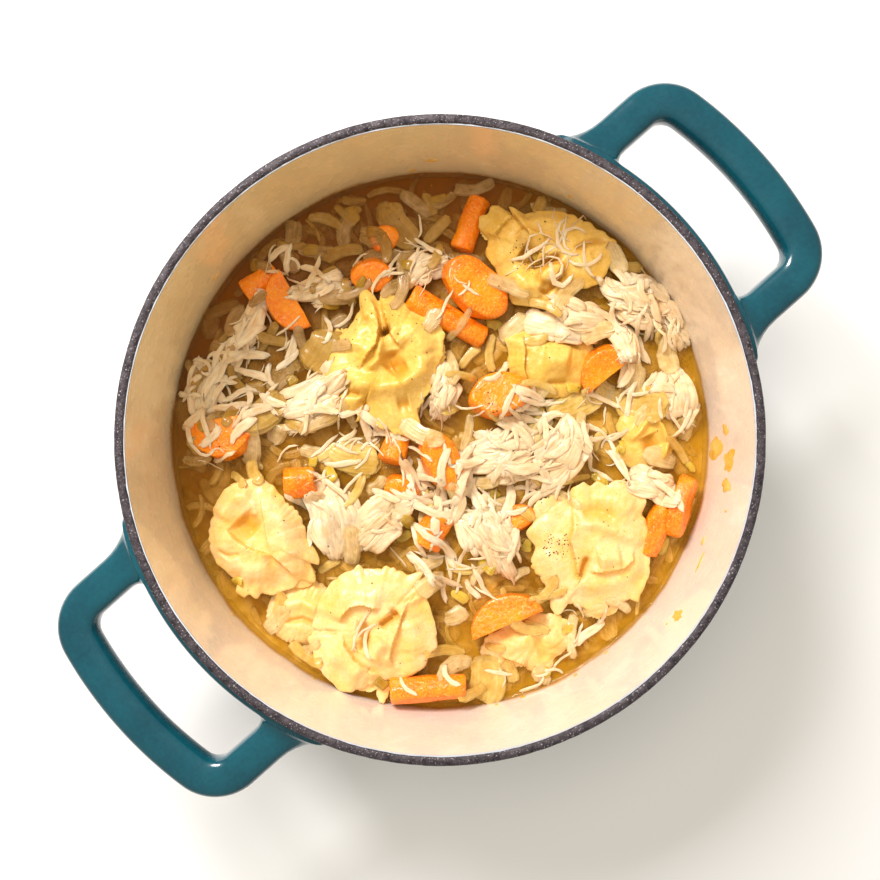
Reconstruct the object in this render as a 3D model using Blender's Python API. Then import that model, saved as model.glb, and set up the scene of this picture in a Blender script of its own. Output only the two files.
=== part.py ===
"""Casserole of tortellini in broth: an enamelled cast-iron pot with two loop handles, half filled with
broth, in which stuffed pasta rings, carrot, pulled chicken and leek lie.

Metres, +Z up. The origin is under the middle of the pot's base, and the two handles lie along X.
The food is laid out in a frame of its own, turned about the pot's axis.
"""

import math

import bmesh
import bpy
from mathutils import Euler, Matrix, Vector

MM = 0.001
TURN = 2 * math.pi

# The pot
POT_HEIGHT = 112 * MM
RIM_OUTER = 120.8 * MM  # radius to the outside of the bare iron lip
RIM_INNER = 116.9 * MM
WALL = 4 * MM
FLOOR = 5 * MM
DRAFT = math.tan(math.radians(2.6))  # each side leans out by this much for each unit of height
OUTER_CORNER = 29 * MM
INNER_CORNER = 26 * MM
LIP_DEPTH = 4 * MM
POT_STEPS = 40

# The handles
GRIP_RADIUS = 157.8 * MM  # pot's axis to the middle of the outer bar
GRIP_SPREAD = 43.5 * MM  # handle's middle line to the middle of a side bar
GRIP_BEND = 14 * MM
GRIP_WIDTH = 15 * MM
GRIP_DEPTH = 12.5 * MM
GRIP_DROP = 17 * MM  # lip's top to the middle of the bar
ROOT_FLARE = 4.5 * MM
PAD_PROUD = 5 * MM
PAD_DEPTH = 17 * MM

# The food
LEVEL = 51 * MM  # broth's surface above the base
GAP = 0.5 * MM  # between touching pieces
POCKET_GAP = 1.9 * MM  # between a piece and the broth it dips into
FOOD_TURN = math.radians(-41.5)  # food's frame against the handles

ENAMEL_TEAL = (0.012, 0.130, 0.165)
BROTH_GOLD = (0.42, 0.22, 0.05)
PASTA_YELLOW = (0.86, 0.66, 0.27)
CARROT_ORANGE = (0.85, 0.24, 0.01)
CHICKEN_CREAM = (0.80, 0.62, 0.42)
LEEK_GREEN = (0.62, 0.52, 0.22)


def clear_scene():
    for obj in list(bpy.data.objects):
        bpy.data.objects.remove(obj)


def material(name, colour, roughness):
    made = bpy.data.materials.new(name)
    made.use_nodes = True
    shader = made.node_tree.nodes["Principled BSDF"]
    shader.inputs["Base Color"].default_value = (*colour, 1)
    shader.inputs["Roughness"].default_value = roughness
    shader.inputs["Metallic"].default_value = 0
    return made


def object_of(name, bm, finish=None, smooth=40):
    """The bmesh as an object of its own, faces outwards, smooth except at edges sharper than smooth."""
    bmesh.ops.recalc_face_normals(bm, faces=bm.faces)
    mesh = bpy.data.meshes.new(name)
    bm.to_mesh(mesh)
    bm.free()
    if finish:
        mesh.materials.append(finish)
    mesh.shade_smooth()
    mesh.set_sharp_from_angle(angle=math.radians(smooth))
    obj = bpy.data.objects.new(name, mesh)
    bpy.context.scene.collection.objects.link(obj)
    return obj


def helper(obj):
    obj.hide_render = True
    obj.display_type = "WIRE"
    return obj


def boolean(obj, other, operation):
    cut = obj.modifiers.new(other.name, "BOOLEAN")
    cut.operation = operation
    cut.solver = "EXACT"
    cut.object = other


def smooth_step(x):
    x = min(1, max(0, x))
    return x * x * (3 - 2 * x)


def warped_grid(across, along, place, closed_along=False):
    """A tube: a grid whose rows wrap round a section and whose columns follow the piece's length.
    place(u, v) gives the point for v round the section and u along the piece, both from 0 to 1."""
    bm = bmesh.new()
    bmesh.ops.create_grid(bm, x_segments=along, y_segments=across, size=0.5)
    for vert in bm.verts:
        vert.co = place(vert.co.x + 0.5, vert.co.y + 0.5)
    bmesh.ops.remove_doubles(bm, verts=bm.verts, dist=0.02 * MM)
    if not closed_along:
        bmesh.ops.holes_fill(bm, edges=[e for e in bm.edges if e.is_boundary])
    return bm


# ---- The pot ----------------------------------------------------------------------------------------


def quarter(start, end, steps):
    """Points of a quarter ellipse that leaves start level and reaches end upright, both (radius, height)."""
    (r0, z0), (r1, z1) = start, end
    angles = [math.pi / 2 * i / steps for i in range(steps + 1)]
    return [(r0 + (r1 - r0) * math.sin(a), z1 + (z0 - z1) * math.cos(a)) for a in angles]


def inner_radius(height):
    """Inside of the upright wall at this height."""
    return RIM_INNER - (POT_HEIGHT - height) * DRAFT


def inner_profile(inset, top):
    """(radius, height) from the middle of the floor up the inside of the wall, inset from the enamel."""
    foot = FLOOR + INNER_CORNER
    side = inner_radius(foot) - inset
    corner = quarter((side - INNER_CORNER, FLOOR + inset), (side, foot), 3)
    return [(0, FLOOR + inset), *corner, (inner_radius(top) - inset, top)]


def outer_profile():
    foot = OUTER_CORNER
    side = inner_radius(foot) + WALL
    lip_foot = POT_HEIGHT - LIP_DEPTH
    corner = quarter((side - OUTER_CORNER, 0), (side, foot), 3)
    lip = quarter((RIM_INNER + 1.5 * MM, POT_HEIGHT), (RIM_OUTER, POT_HEIGHT - 1.6 * MM), 2)
    return [(0, 0), *corner, (inner_radius(lip_foot) + WALL, lip_foot), *reversed(lip)]


def turned(profile, steps):
    """A profile of (radius, height) points spun round the Z axis and welded to a closed shape."""
    bm = bmesh.new()
    verts = [bm.verts.new((r, 0, z)) for r, z in profile]
    edges = [bm.edges.new(pair) for pair in zip(verts, verts[1:])]
    bmesh.ops.spin(
        bm, geom=verts + edges, cent=(0, 0, 0), axis=(0, 0, 1), angle=TURN, steps=steps, use_merge=True
    )
    bmesh.ops.remove_doubles(bm, verts=bm.verts, dist=0.02 * MM)
    return bm


def grip_stations():
    """(point, heading, flare) along one half of the grip's middle line, wall to the middle of the outer bar.
    The line is level, leaves the wall along +X, and bends round into an arc about the pot's axis."""
    reach = GRIP_RADIUS - GRIP_BEND
    centre_y = GRIP_SPREAD - GRIP_BEND
    centre_x = math.sqrt(reach**2 - centre_y**2)
    lean = math.atan2(centre_y, centre_x)
    root_x = math.sqrt((RIM_OUTER - 0.5 * MM) ** 2 - GRIP_SPREAD**2)
    stations = [(None, 0, 1)]
    for step in (0.25, 1):
        flare = 1 - math.sqrt(1 - (1 - step) ** 2)
        stations.append(((root_x + step * ROOT_FLARE, GRIP_SPREAD), 0, flare))
    bends = 4
    for i in range(bends + 1):
        a = (math.pi / 2 - lean) * i / bends
        spot = (centre_x + GRIP_BEND * math.sin(a), centre_y + GRIP_BEND * math.cos(a))
        stations.append((spot, -a, 0))
    arcs = 2
    for i in range(1, arcs + 1):
        a = lean * (1 - i / arcs)
        stations.append(((GRIP_RADIUS * math.cos(a), GRIP_RADIUS * math.sin(a)), a - math.pi / 2, 0))
    return stations


def grip_section(flare):
    """(sideways, up) points of the bar: a rectangle with round corners, wider where it flares."""
    half_w = GRIP_WIDTH / 2 + flare * ROOT_FLARE
    half_d = GRIP_DEPTH / 2 + flare * ROOT_FLARE * 0.6
    power = 0.55
    points = []
    sides = 10
    for i in range(sides):
        a = TURN * (i + 0.5) / sides
        c, s = math.cos(a), math.sin(a)
        points.append((half_w * math.copysign(abs(c) ** power, c), half_d * math.copysign(abs(s) ** power, s)))
    return points


def bridged(name, rings):
    """A solid whose sections are these rings of points, one after another, closed at both ends."""
    bm = bmesh.new()
    before = None
    for points in rings:
        ring = [bm.verts.new(point) for point in points]
        edges = [bm.edges.new((ring[i - 1], ring[i])) for i in range(len(ring))]
        if before:
            bmesh.ops.bridge_loops(bm, edges=before + edges)
        else:
            bm.faces.new(ring)
        before = edges
    bm.faces.new(ring)
    return helper(object_of(name, bm))


def grip():
    """The loop of the handle on the +X side, its two ends shaped to sit inside the pot's wall."""
    half = grip_stations()
    mirrored = [
        (None if spot is None else (spot[0], -spot[1]), math.pi - heading, flare)
        for spot, heading, flare in reversed(half[:-1])
    ]
    height = POT_HEIGHT - GRIP_DROP
    wall_middle = inner_radius(height) + WALL * 0.55
    rings = []
    for number, (spot, heading, flare) in enumerate(half + mirrored):
        ring = []
        for sideways, up in grip_section(flare):
            if spot is None:
                y = GRIP_SPREAD + sideways if number == 0 else -GRIP_SPREAD - sideways
                x = math.sqrt(wall_middle**2 - y**2)
            else:
                x = spot[0] - sideways * math.sin(heading)
                y = spot[1] + sideways * math.cos(heading)
            ring.append((x, y, height + up))
        rings.append(ring)
    return bridged("grip_shape", rings)


def pad():
    """The thickened strip of wall between the two roots of a handle."""
    height = POT_HEIGHT - GRIP_DROP
    middle = inner_radius(height) + WALL
    sweep = math.asin(GRIP_SPREAD / middle)
    steps = 6
    rings = []
    for i in range(steps + 1):
        a = sweep * (2 * i / steps - 1)
        ring = []
        for k in range(8):
            b = TURN * (k + 0.5) / 8
            r = max(middle - WALL * 0.45, middle + PAD_PROUD * math.cos(b))
            ring.append((r * math.cos(a), r * math.sin(a), height + PAD_DEPTH / 2 * math.sin(b)))
        rings.append(ring)
    return bridged("pad_shape", rings)


def pot():
    inner = inner_profile(0, POT_HEIGHT - 1.6 * MM)
    body = object_of("pot", turned(outer_profile() + inner[::-1], POT_STEPS), material("enamel", ENAMEL_TEAL, 0.2))
    for shape in (pad(), grip()):
        boolean(body, shape, "UNION")
        opposite = helper(bpy.data.objects.new(shape.name + "_opposite", shape.data))
        opposite.rotation_euler.z = math.pi
        bpy.context.scene.collection.objects.link(opposite)
        boolean(body, opposite, "UNION")
    return body


# ---- Stuffed pasta ----------------------------------------------------------------------------------


def pasta_ring(ring, belly, flange, flare, curl, lap, scallops, along=18, across=8):
    """A disc of pasta folded over its filling and wrapped round until the two tips cross.

    ring is the radius of the middle of the stuffed roll, belly the roll's radius at its fattest, flange
    the width of the sealed edge, flare the angle at which that edge leaves the roll (0 outwards, 90 up),
    curl how far it bends on from there, and lap how high the upper tip rides over the lower one."""
    sheet = 1.0 * MM
    tilt, bend = math.radians(flare), math.radians(curl)
    wrap = math.radians(382)

    def place(u, v):
        end = min(u, 1 - u)
        fullness = math.sin(math.pi * min(1, max(0, u))) ** 0.6
        pinch = smooth_step(end / 0.05)
        roll = belly * (0.3 + 0.7 * fullness) * (0.2 + 0.8 * pinch)
        wave = abs(math.sin(math.pi * scallops * u)) ** 0.7
        edge = flange * (0.55 + 0.45 * fullness) * (0.80 + 0.20 * wave) * (0.25 + 0.75 * pinch)
        # Round the section: out over the top face of the sealed edge and back under it.
        side = 1 if v < 0.5 else -1
        s = 1 - abs(1 - 2 * v)
        reach = roll + edge
        shoulder = 0.75 * roll
        if s < 0.55:
            out = -roll + (roll + shoulder) * (s / 0.55) ** 1.3
            half = math.sqrt(max(0, roll**2 - out**2))
        else:
            t = (s - 0.55) / 0.45
            out = shoulder + (reach - shoulder) * t
            start = math.sqrt(roll**2 - shoulder**2)
            thin = min(sheet, start)
            half = thin + (start - thin) * (1 - min(1, 2.6 * t)) ** 2
            half *= math.sqrt(max(0, 1 - t**6))
        # The sealed edge leaves the roll at an angle, curls on from there, and ripples.
        share = max(0, out - shoulder) / (reach - shoulder + 1e-9)
        lean = tilt * min(1, max(0, out / shoulder)) + bend * share * 0.5
        ripple = 0.16 * flange * share**1.5 * math.sin(TURN * scallops * u / 2.3)
        r = math.cos(lean) * out - side * half * math.sin(lean)
        z = math.sin(lean) * out + side * half * math.cos(lean) + ripple
        # Wrapped round the ring, with one tip over the other.
        angle = math.radians(188) + wrap * (u - 0.5)
        rise = lap * (smooth_step((u - 0.66) / 0.3) - 0.35 * smooth_step((0.2 - u) / 0.2))
        radius = ring + r - 0.15 * ring * smooth_step((0.22 - u) / 0.22)
        return Vector((radius * math.cos(angle), radius * math.sin(angle), z + rise))

    return warped_grid(across, along, place)


# ---- Carrot, chicken and leek ------------------------------------------------------------------------


def carrot_coin(length, width, thick, sides=9):
    """A slice cut slantwise across a carrot."""
    bm = bmesh.new()
    bmesh.ops.create_cone(
        bm, cap_ends=True, segments=sides, radius1=0.5, radius2=0.46, depth=1,
        matrix=Matrix.Diagonal((length, width, thick, 1)),
    )
    return bevelled(bm, 0.9 * MM)


def carrot_half(length, width, thick, sides=12):
    """Half a slice: a straight cut along one side and the carrot's skin round the other."""
    bm = bmesh.new()
    bmesh.ops.create_cone(
        bm, cap_ends=True, segments=sides, radius1=0.5, radius2=0.47, depth=1,
        matrix=Matrix.Diagonal((length, 2 * width, thick, 1)),
    )
    cut = bmesh.ops.bisect_plane(
        bm, geom=bm.verts[:] + bm.edges[:] + bm.faces[:], plane_co=(0, 0, 0), plane_no=(0, -1, 0),
        clear_outer=True,
    )
    bmesh.ops.holes_fill(bm, edges=[e for e in cut["geom_cut"] if isinstance(e, bmesh.types.BMEdge)])
    bmesh.ops.translate(bm, verts=bm.verts, vec=(0, -width / 2, 0))
    return bevelled(bm, 0.8 * MM)


def carrot_block(length, width, thick):
    """A stubby length of carrot split lengthways, its upper side rounded by the skin."""
    bm = bmesh.new()
    bmesh.ops.create_cone(
        bm, cap_ends=True, segments=8, radius1=0.56, radius2=0.50, depth=1,
        matrix=Matrix.Rotation(math.pi / 2, 4, "Y") @ Matrix.Rotation(math.pi / 8, 4, "Z"),
    )
    bmesh.ops.transform(bm, matrix=Matrix.Diagonal((length, width, thick, 1)), verts=bm.verts)
    return bevelled(bm, 0.8 * MM)


def bevelled(bm, size):
    bmesh.ops.dissolve_limit(bm, angle_limit=math.radians(1), verts=bm.verts, edges=bm.edges)
    sharp = [e for e in bm.edges if e.calc_face_angle(0) > math.radians(50)]
    bmesh.ops.bevel(
        bm, geom=sharp, offset=size, segments=1, profile=0.5, affect="EDGES", material=-1, clamp_overlap=True
    )
    bmesh.ops.triangulate(bm, faces=bm.faces)
    return bm


def chicken_pull(length, width, thick, bend, along=6, across=6):
    """A pulled bundle of chicken fibres: ridged along its length, thicker in the middle, bent."""
    arc = math.radians(bend)

    def place(u, v):
        taper = 0.35 + 0.65 * math.sin(math.pi * (0.06 + 0.88 * u)) ** 0.7
        if u < 0.01 or u > 0.99:
            taper *= 0.55
        ridge = 1 + 0.13 * math.cos(4 * TURN * v + 3 * u)
        around = TURN * v
        side = width / 2 * taper * ridge * math.cos(around)
        up = thick / 2 * taper * ridge * math.sin(around)
        swing = arc * (u - 0.5)
        if abs(arc) < 0.01:
            return Vector((length * (u - 0.5), side, up))
        radius = length / arc
        return Vector(((radius - side) * math.sin(swing), radius - (radius - side) * math.cos(swing), up))

    return warped_grid(across, along, place)


def leek_strip(length, width, bend, cup):
    """A softened ring of leek cut open: a thin strip bent along its length and cupped across it."""
    bm = bmesh.new()
    bmesh.ops.create_grid(bm, x_segments=5, y_segments=2, size=0.5)
    arc, hollow = math.radians(bend), math.radians(cup)
    for vert in bm.verts:
        swing = arc * vert.co.x
        radius = length / arc
        lift = width / hollow * (1 - math.cos(hollow * vert.co.y))
        vert.co = ((radius - lift) * math.sin(swing), width * vert.co.y, radius - (radius - lift) * math.cos(swing))
    bmesh.ops.recalc_face_normals(bm, faces=bm.faces)
    bmesh.ops.solidify(bm, geom=bm.faces[:], thickness=1.4 * MM)
    return bm


# ---- What lies in the pot ---------------------------------------------------------------------------

# Each piece's place is (x, y, above the broth) in millimetres in the food's frame, then its turn about
# the upright and its lean about its own length and width, in degrees.
PASTA = {
    "tortellino_1": ((44, 76, 6), (158, 16, -6), (13.0, 7.0, 9.0, 4, 30, 5.5, 9)),
    "tortellino_2": ((-22, 33, 8), (100, -6, 8), (12.5, 6.8, 10.0, 18, 30, 5.5, 11)),
    "tortellino_3": ((-73, -41, 7), (-38, 6, 6), (13.0, 7.6, 6.0, -32, -20, 6.5, 8)),
    "tortellino_4": ((-28, -79, 7), (35, -4, 4), (12.5, 7.2, 9.5, -6, 26, 5.5, 13)),
    "tortellino_5": ((64, -45, 8), (-112, 5, 4), (12.0, 7.6, 9.5, -10, 20, 5.5, 12)),
    "tortellino_6": ((47, 33, -1), (70, 4, 0), (11.5, 7.4, 5.0, -20, -10, 5.0, 8)),
    "tortellino_7": ((38, -87, -2), (15, -14, 6), (10.5, 6.4, 7.5, 6, 10, 4.5, 9)),
    "tortellino_8": ((88, 0, -1), (-60, 4, -8), (9.5, 5.2, 6.5, 20, 20, 4.0, 9)),
    "tortellino_9": ((-58, -74, -5), (140, 4, 4), (10.5, 5.8, 7.0, 0, 10, 4.0, 9)),
}

CARROTS = {
    "carrot_1": (carrot_block, (-76, 67, 1), (36, 0, 6), (17, 11, 9)),
    "carrot_2": (carrot_half, (-67, 57, 4), (118, 4, -12), (28, 13, 9)),
    "carrot_3": (carrot_coin, (-29, 70, 3), (8, 20, 0), (19, 14, 9)),
    "carrot_4": (carrot_coin, (15, 64, 7), (-42, -8, 10), (33, 21, 9)),
    "carrot_5": (carrot_block, (3, 52, 2), (-29, 0, 8), (36, 11, 11)),
    "carrot_6": (carrot_coin, (25, 19, 7), (12, -14, 4), (27, 19, 9)),
    "carrot_7": (carrot_half, (67, 32, 6), (40, 8, -10), (25, 12, 10)),
    "carrot_8": (carrot_half, (-91, 0, 5), (190, 8, 6), (31, 17, 8)),
    "carrot_9": (carrot_block, (-59, -18, 5), (6, 0, 0), (13, 13, 13)),
    "carrot_10": (carrot_coin, (1, -9, 8), (-62, -12, 10), (29, 16, 9)),
    "carrot_11": (carrot_block, (-19, -3, 3), (75, 0, 20), (14, 11, 10)),
    "carrot_12": (carrot_coin, (-16, -22, 3), (-35, 12, 0), (17, 13, 9)),
    "carrot_13": (carrot_block, (-3, -38, 4), (60, 0, -8), (15, 13, 11)),
    "carrot_14": (carrot_coin, (33, -33, 2), (10, -10, 0), (16, 12, 8)),
    "carrot_15": (carrot_half, (26, -72, 6), (24, -10, -4), (33, 13, 11)),
    "carrot_16": (carrot_block, (-5, -104.5, 7), (4, 0, 0), (32, 11, 13)),
    "carrot_17": (carrot_coin, (101.5, -28, 7), (75, 62, 0), (27, 15, 6.5)),
    "carrot_18": (carrot_block, (91, -38, 4), (66, 0, -8), (22, 11, 11)),
    "carrot_19": (carrot_coin, (-24, 86, 0), (20, 8, 6), (14, 12, 8)),
    "carrot_20": (carrot_block, (13, 92, 0), (70, 0, 6), (24, 10, 9)),
}

CHICKEN = {
    "chicken_1": ((53, 51, 10), (-8, 0, 4), (33, 17, 10, 18)),
    "chicken_2": ((80, 60, 9), (-35, 6, 4), (32, 18, 11, 50)),
    "chicken_3": ((96, 50, 6), (-62, 4, 0), (30, 12, 10, 20)),
    "chicken_4": ((99, 19, 7), (-80, 0, -6), (26, 19, 13, 8)),
    "chicken_5": ((79, 34, 9), (-75, 0, 6), (30, 8, 7, -30)),
    "chicken_6": ((52, -5, 8), (48, 6, 4), (34, 20, 11, 16)),
    "chicken_7": ((27, -7, 6), (10, 0, 8), (30, 26, 11, 30)),
    "chicken_8": ((21, -42, 7), (-62, 4, 6), (36, 20, 11, -12)),
    "chicken_9": ((-46, -28, 8), (100, 0, 4), (42, 15, 10, 14)),
    "chicken_10": ((-27, -35, 7), (38, 0, 0), (30, 16, 10, -24)),
    "chicken_11": ((1, 20, 8), (72, 0, 0), (25, 12, 9, 20)),
    "chicken_12": ((-50, 64, 6), (12, 0, 4), (25, 14, 9, 20)),
    "chicken_13": ((-82, 45, 5), (60, 0, -6), (36, 9, 7, 24)),
    "chicken_14": ((-54, 17, 5), (28, 0, 4), (36, 20, 10, 20)),
    "chicken_15": ((-100, 22, 2), (84, 0, 4), (26, 12, 9, -14)),
    "chicken_16": ((-8, 72, 5), (30, 0, 0), (24, 10, 8, -30)),
    "chicken_17": ((90, -20, 8), (-24, 0, -6), (26, 11, 9, 18)),
}

LEEKS = {
    "leek_1": ((58, 17, 8), (14, 10, -6), (26, 11, 60, 30)),
    "leek_2": ((-18, 92, 2), (-70, 0, 0), (20, 11, 50, 40)),
    "leek_3": ((-75, 12, 7), (30, 6, 0), (20, 12, 70, 30)),
    "leek_4": ((-51, 38, 5), (40, 0, 10), (19, 14, 60, 40)),
    "leek_5": ((19, -101, 3), (80, 0, 6), (19, 15, 80, 40)),
    "leek_6": ((-36, -8, 6), (-25, 8, 6), (20, 12, 60, 40)),
    "leek_7": ((84, 16, 4), (-30, 0, 8), (20, 13, 70, 30)),
}


def laid(obj, food, spot, turns):
    """Puts a piece in the food's frame."""
    x, y, above = spot
    turn, along, across = (math.radians(a) for a in turns)
    obj.parent = food
    obj.location = (x * MM, y * MM, LEVEL + above * MM)
    obj.rotation_euler = (Matrix.Rotation(turn, 3, "Z") @ Euler((along, across, 0)).to_matrix()).to_euler()
    return obj


def pieces(food):
    """Every piece of food as an object in its place, named by its node."""
    pasta = material("pasta", PASTA_YELLOW, 0.4)
    carrot = material("carrot", CARROT_ORANGE, 0.35)
    chicken = material("chicken", CHICKEN_CREAM, 0.55)
    leek = material("leek", LEEK_GREEN, 0.3)
    made = []
    for name, (spot, turns, (ring, belly, flange, flare, curl, lap, scallops)) in PASTA.items():
        bm = pasta_ring(ring * MM, belly * MM, flange * MM, flare, curl, lap * MM, scallops)
        made.append(laid(object_of(name, bm, pasta), food, spot, turns))
    for name, (shape, spot, turns, sizes) in CARROTS.items():
        made.append(laid(object_of(name, shape(*(s * MM for s in sizes)), carrot), food, spot, turns))
    for name, (spot, turns, (length, width, thick, bend)) in CHICKEN.items():
        bm = chicken_pull(length * MM, width * MM, thick * MM, bend)
        made.append(laid(object_of(name, bm, chicken), food, spot, turns))
    for name, (spot, turns, (length, width, bend, cup)) in LEEKS.items():
        bm = leek_strip(length * MM, width * MM, bend, cup)
        made.append(laid(object_of(name, bm, leek), food, spot, turns))
    return made


def world_corners(obj):
    points = [obj.matrix_world @ vert.co for vert in obj.data.vertices]
    return [min(axis) for axis in zip(*points)], [max(axis) for axis in zip(*points)]


def room(name, profile):
    """A helper solid: the space inside the pot above a profile, as high as the rim."""
    top = (inner_radius(POT_HEIGHT) - GAP, POT_HEIGHT)
    return helper(object_of(name, turned([*profile, top, (0, POT_HEIGHT)], POT_STEPS)))


def reach(obj):
    """How far the object comes from the pot's axis."""
    return max((obj.matrix_world @ vert.co).xy.length for vert in obj.data.vertices)


def boxes_meet(one, two):
    (low1, high1), (low2, high2) = one, two
    return all(low1[i] < high2[i] + GAP and low2[i] < high1[i] + GAP for i in range(3))


def hulled(bm):
    """Leaves only the closed outline round the bmesh's points."""
    bmesh.ops.delete(bm, geom=bm.edges[:], context="EDGES_FACES")
    bmesh.ops.convex_hull(bm, input=bm.verts[:])
    bmesh.ops.delete(bm, geom=[v for v in bm.verts if not v.link_faces], context="VERTS")


def grown(obj, name, gap, pocket=False):
    """A cutter: the piece made a gap larger all round, or a plain outline round that."""
    bm = bmesh.new()
    bm.from_mesh(obj.data)
    bm.normal_update()
    moves = [(vert, vert.normal * gap) for vert in bm.verts]
    for vert, move in moves:
        vert.co += move
    if pocket:
        hulled(bm)
        bmesh.ops.dissolve_limit(bm, angle_limit=math.radians(16), verts=bm.verts, edges=bm.edges)
        hulled(bm)
    cutter = helper(object_of(name, bm))
    cutter.parent = obj.parent
    cutter.location = obj.location
    cutter.rotation_euler = obj.rotation_euler
    return cutter


def islands(bm):
    """The bmesh's separate bodies, each as a list of faces."""
    left = set(bm.faces)
    found = []
    while left:
        queue = [left.pop()]
        body = list(queue)
        while queue:
            for edge in queue.pop().edges:
                for face in edge.link_faces:
                    if face in left:
                        left.remove(face)
                        queue.append(face)
                        body.append(face)
        found.append(body)
    return found


def settle(obj):
    """Applies a piece's cuts and drops the crumbs that they leave."""
    graph = bpy.context.evaluated_depsgraph_get()
    cut = bpy.data.meshes.new_from_object(obj.evaluated_get(graph))
    obj.modifiers.clear()
    bm = bmesh.new()
    bm.from_mesh(cut)
    bodies = sorted(islands(bm), key=lambda body: sum(face.calc_area() for face in body))
    for crumb in bodies[:-1]:
        bmesh.ops.delete(bm, geom=crumb, context="FACES")
    bm.to_mesh(cut)
    bm.free()
    obj.data = cut


def build():
    clear_scene()
    pot()
    food = bpy.data.objects.new("food_frame", None)
    food.rotation_euler.z = FOOD_TURN
    bpy.context.scene.collection.objects.link(food)
    made = sorted(pieces(food), key=lambda piece: -piece.location.z)
    broth = object_of("broth", turned(inner_profile(GAP, LEVEL) + [(0, LEVEL)], POT_STEPS), material("broth", BROTH_GOLD, 0.1))
    bpy.context.view_layer.update()
    boxes = {piece.name: world_corners(piece) for piece in made}
    cutters = {piece.name: grown(piece, piece.name + "_cutter", GAP) for piece in made}
    wall_room = room("wall_room", inner_profile(GAP, LEVEL))
    open_room = room("open_room", [(0, LEVEL + GAP), (inner_radius(LEVEL) - GAP, LEVEL + GAP)])
    for place, piece in enumerate(made):
        loose = piece.name.startswith(("chicken", "leek"))
        if loose:
            boolean(piece, open_room, "INTERSECT")
        elif reach(piece) > inner_radius(LEVEL) - 4 * MM:
            boolean(piece, wall_room, "INTERSECT")
        for above in made[:place]:
            if boxes_meet(boxes[piece.name], boxes[above.name]):
                boolean(piece, cutters[above.name], "DIFFERENCE")
        if not loose and boxes[piece.name][0][2] < LEVEL + GAP:
            boolean(broth, grown(piece, piece.name + "_pocket", POCKET_GAP, pocket=True), "DIFFERENCE")
    bpy.context.view_layer.update()
    for piece in (*made, broth):
        settle(piece)


build()
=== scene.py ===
import math
import random

import bmesh
import bpy
from mathutils import Euler, Matrix, Vector, noise
from mathutils.bvhtree import BVHTree


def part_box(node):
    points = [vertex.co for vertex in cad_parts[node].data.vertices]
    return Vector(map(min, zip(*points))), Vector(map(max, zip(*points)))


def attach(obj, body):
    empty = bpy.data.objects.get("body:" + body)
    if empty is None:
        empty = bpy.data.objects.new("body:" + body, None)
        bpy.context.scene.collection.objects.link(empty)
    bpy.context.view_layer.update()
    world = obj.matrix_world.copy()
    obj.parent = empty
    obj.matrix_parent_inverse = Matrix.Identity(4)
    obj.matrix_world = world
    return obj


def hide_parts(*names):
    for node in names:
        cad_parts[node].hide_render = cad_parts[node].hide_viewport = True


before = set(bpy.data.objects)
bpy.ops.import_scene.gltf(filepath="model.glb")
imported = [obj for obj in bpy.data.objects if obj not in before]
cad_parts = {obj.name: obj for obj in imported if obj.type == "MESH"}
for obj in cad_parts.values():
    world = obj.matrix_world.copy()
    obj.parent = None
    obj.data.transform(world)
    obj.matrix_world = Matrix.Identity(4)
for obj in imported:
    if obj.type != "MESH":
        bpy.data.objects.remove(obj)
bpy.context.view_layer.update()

# ---- Camera, light and floor ------------------------------------------------------------------------
# The pot stands on a plain pale floor. The camera hangs over its axis and looks straight down, turned so
# that the handles lie on a slant. A soft lamp stands beyond one wall, which shades the food beside it.

MM = 0.001
TURN = 2 * math.pi
SLANT = math.radians(-41.5)  # the camera's right-hand side, about Z from +X
WINDOW_BEARING = 122  # degrees from the camera's right-hand side
CAMERA_RISE = 388 * MM  # above the pot's rim

scene = bpy.context.scene
pot_low, pot_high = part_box("pot")
BASE, RIM_TOP = pot_low[2], pot_high[2]

camera = bpy.data.objects.new("camera", bpy.data.cameras.new("camera"))
camera.data.sensor_width = 36
camera.data.lens = 43
camera.location = (0, 0, RIM_TOP + CAMERA_RISE)
camera.rotation_euler.z = SLANT
scene.collection.objects.link(camera)
scene.camera = camera
scene.view_settings.view_transform = "Standard"


def lamp(name, bearing, rise, distance, size, power, colour):
    """An area lamp aimed at the food. Its bearing is in degrees from the camera's right-hand side."""
    made = bpy.data.objects.new(name, bpy.data.lights.new(name, "AREA"))
    made.data.size = size
    made.data.energy = power
    made.data.color = colour
    turn, lift = SLANT + math.radians(bearing), math.radians(rise)
    away = Vector((math.cos(turn) * math.cos(lift), math.sin(turn) * math.cos(lift), math.sin(lift)))
    made.location = away * distance
    made.rotation_euler = away.to_track_quat("Z", "Y").to_euler()
    scene.collection.objects.link(made)
    return made


lamp("window", WINDOW_BEARING, rise=48, distance=1.0, size=0.32, power=10.8, colour=(1.0, 0.98, 0.97))
sky = lamp("sky", WINDOW_BEARING, rise=84, distance=1.1, size=0.8, power=5.7, colour=(1.0, 0.90, 0.74))
sky.visible_glossy = False  # it only fills, and the level broth doesn't mirror it to the camera

scene.world = bpy.data.worlds.new("room")
scene.world.use_nodes = True
room_light = scene.world.node_tree.nodes["Background"].inputs
room_light["Color"].default_value = (1.0, 0.96, 0.90, 1)
room_light["Strength"].default_value = 0.34


def tone(red, green, blue):
    """A colour as a paint chart gives it, 0 to 255, in the linear values that shaders take."""
    shares = (part / 255 for part in (red, green, blue))
    return (*(s / 12.92 if s <= 0.04045 else ((s + 0.055) / 1.055) ** 2.4 for s in shares), 1)


def look(name, **values):
    """A material with constants on its shader, as the material, its node tree and the shader."""
    made = bpy.data.materials.new(name)
    made.use_nodes = True
    shader = made.node_tree.nodes["Principled BSDF"]
    for socket, value in values.items():
        shader.inputs[socket.replace("_", " ")].default_value = value
    return made, made.node_tree, shader


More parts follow.
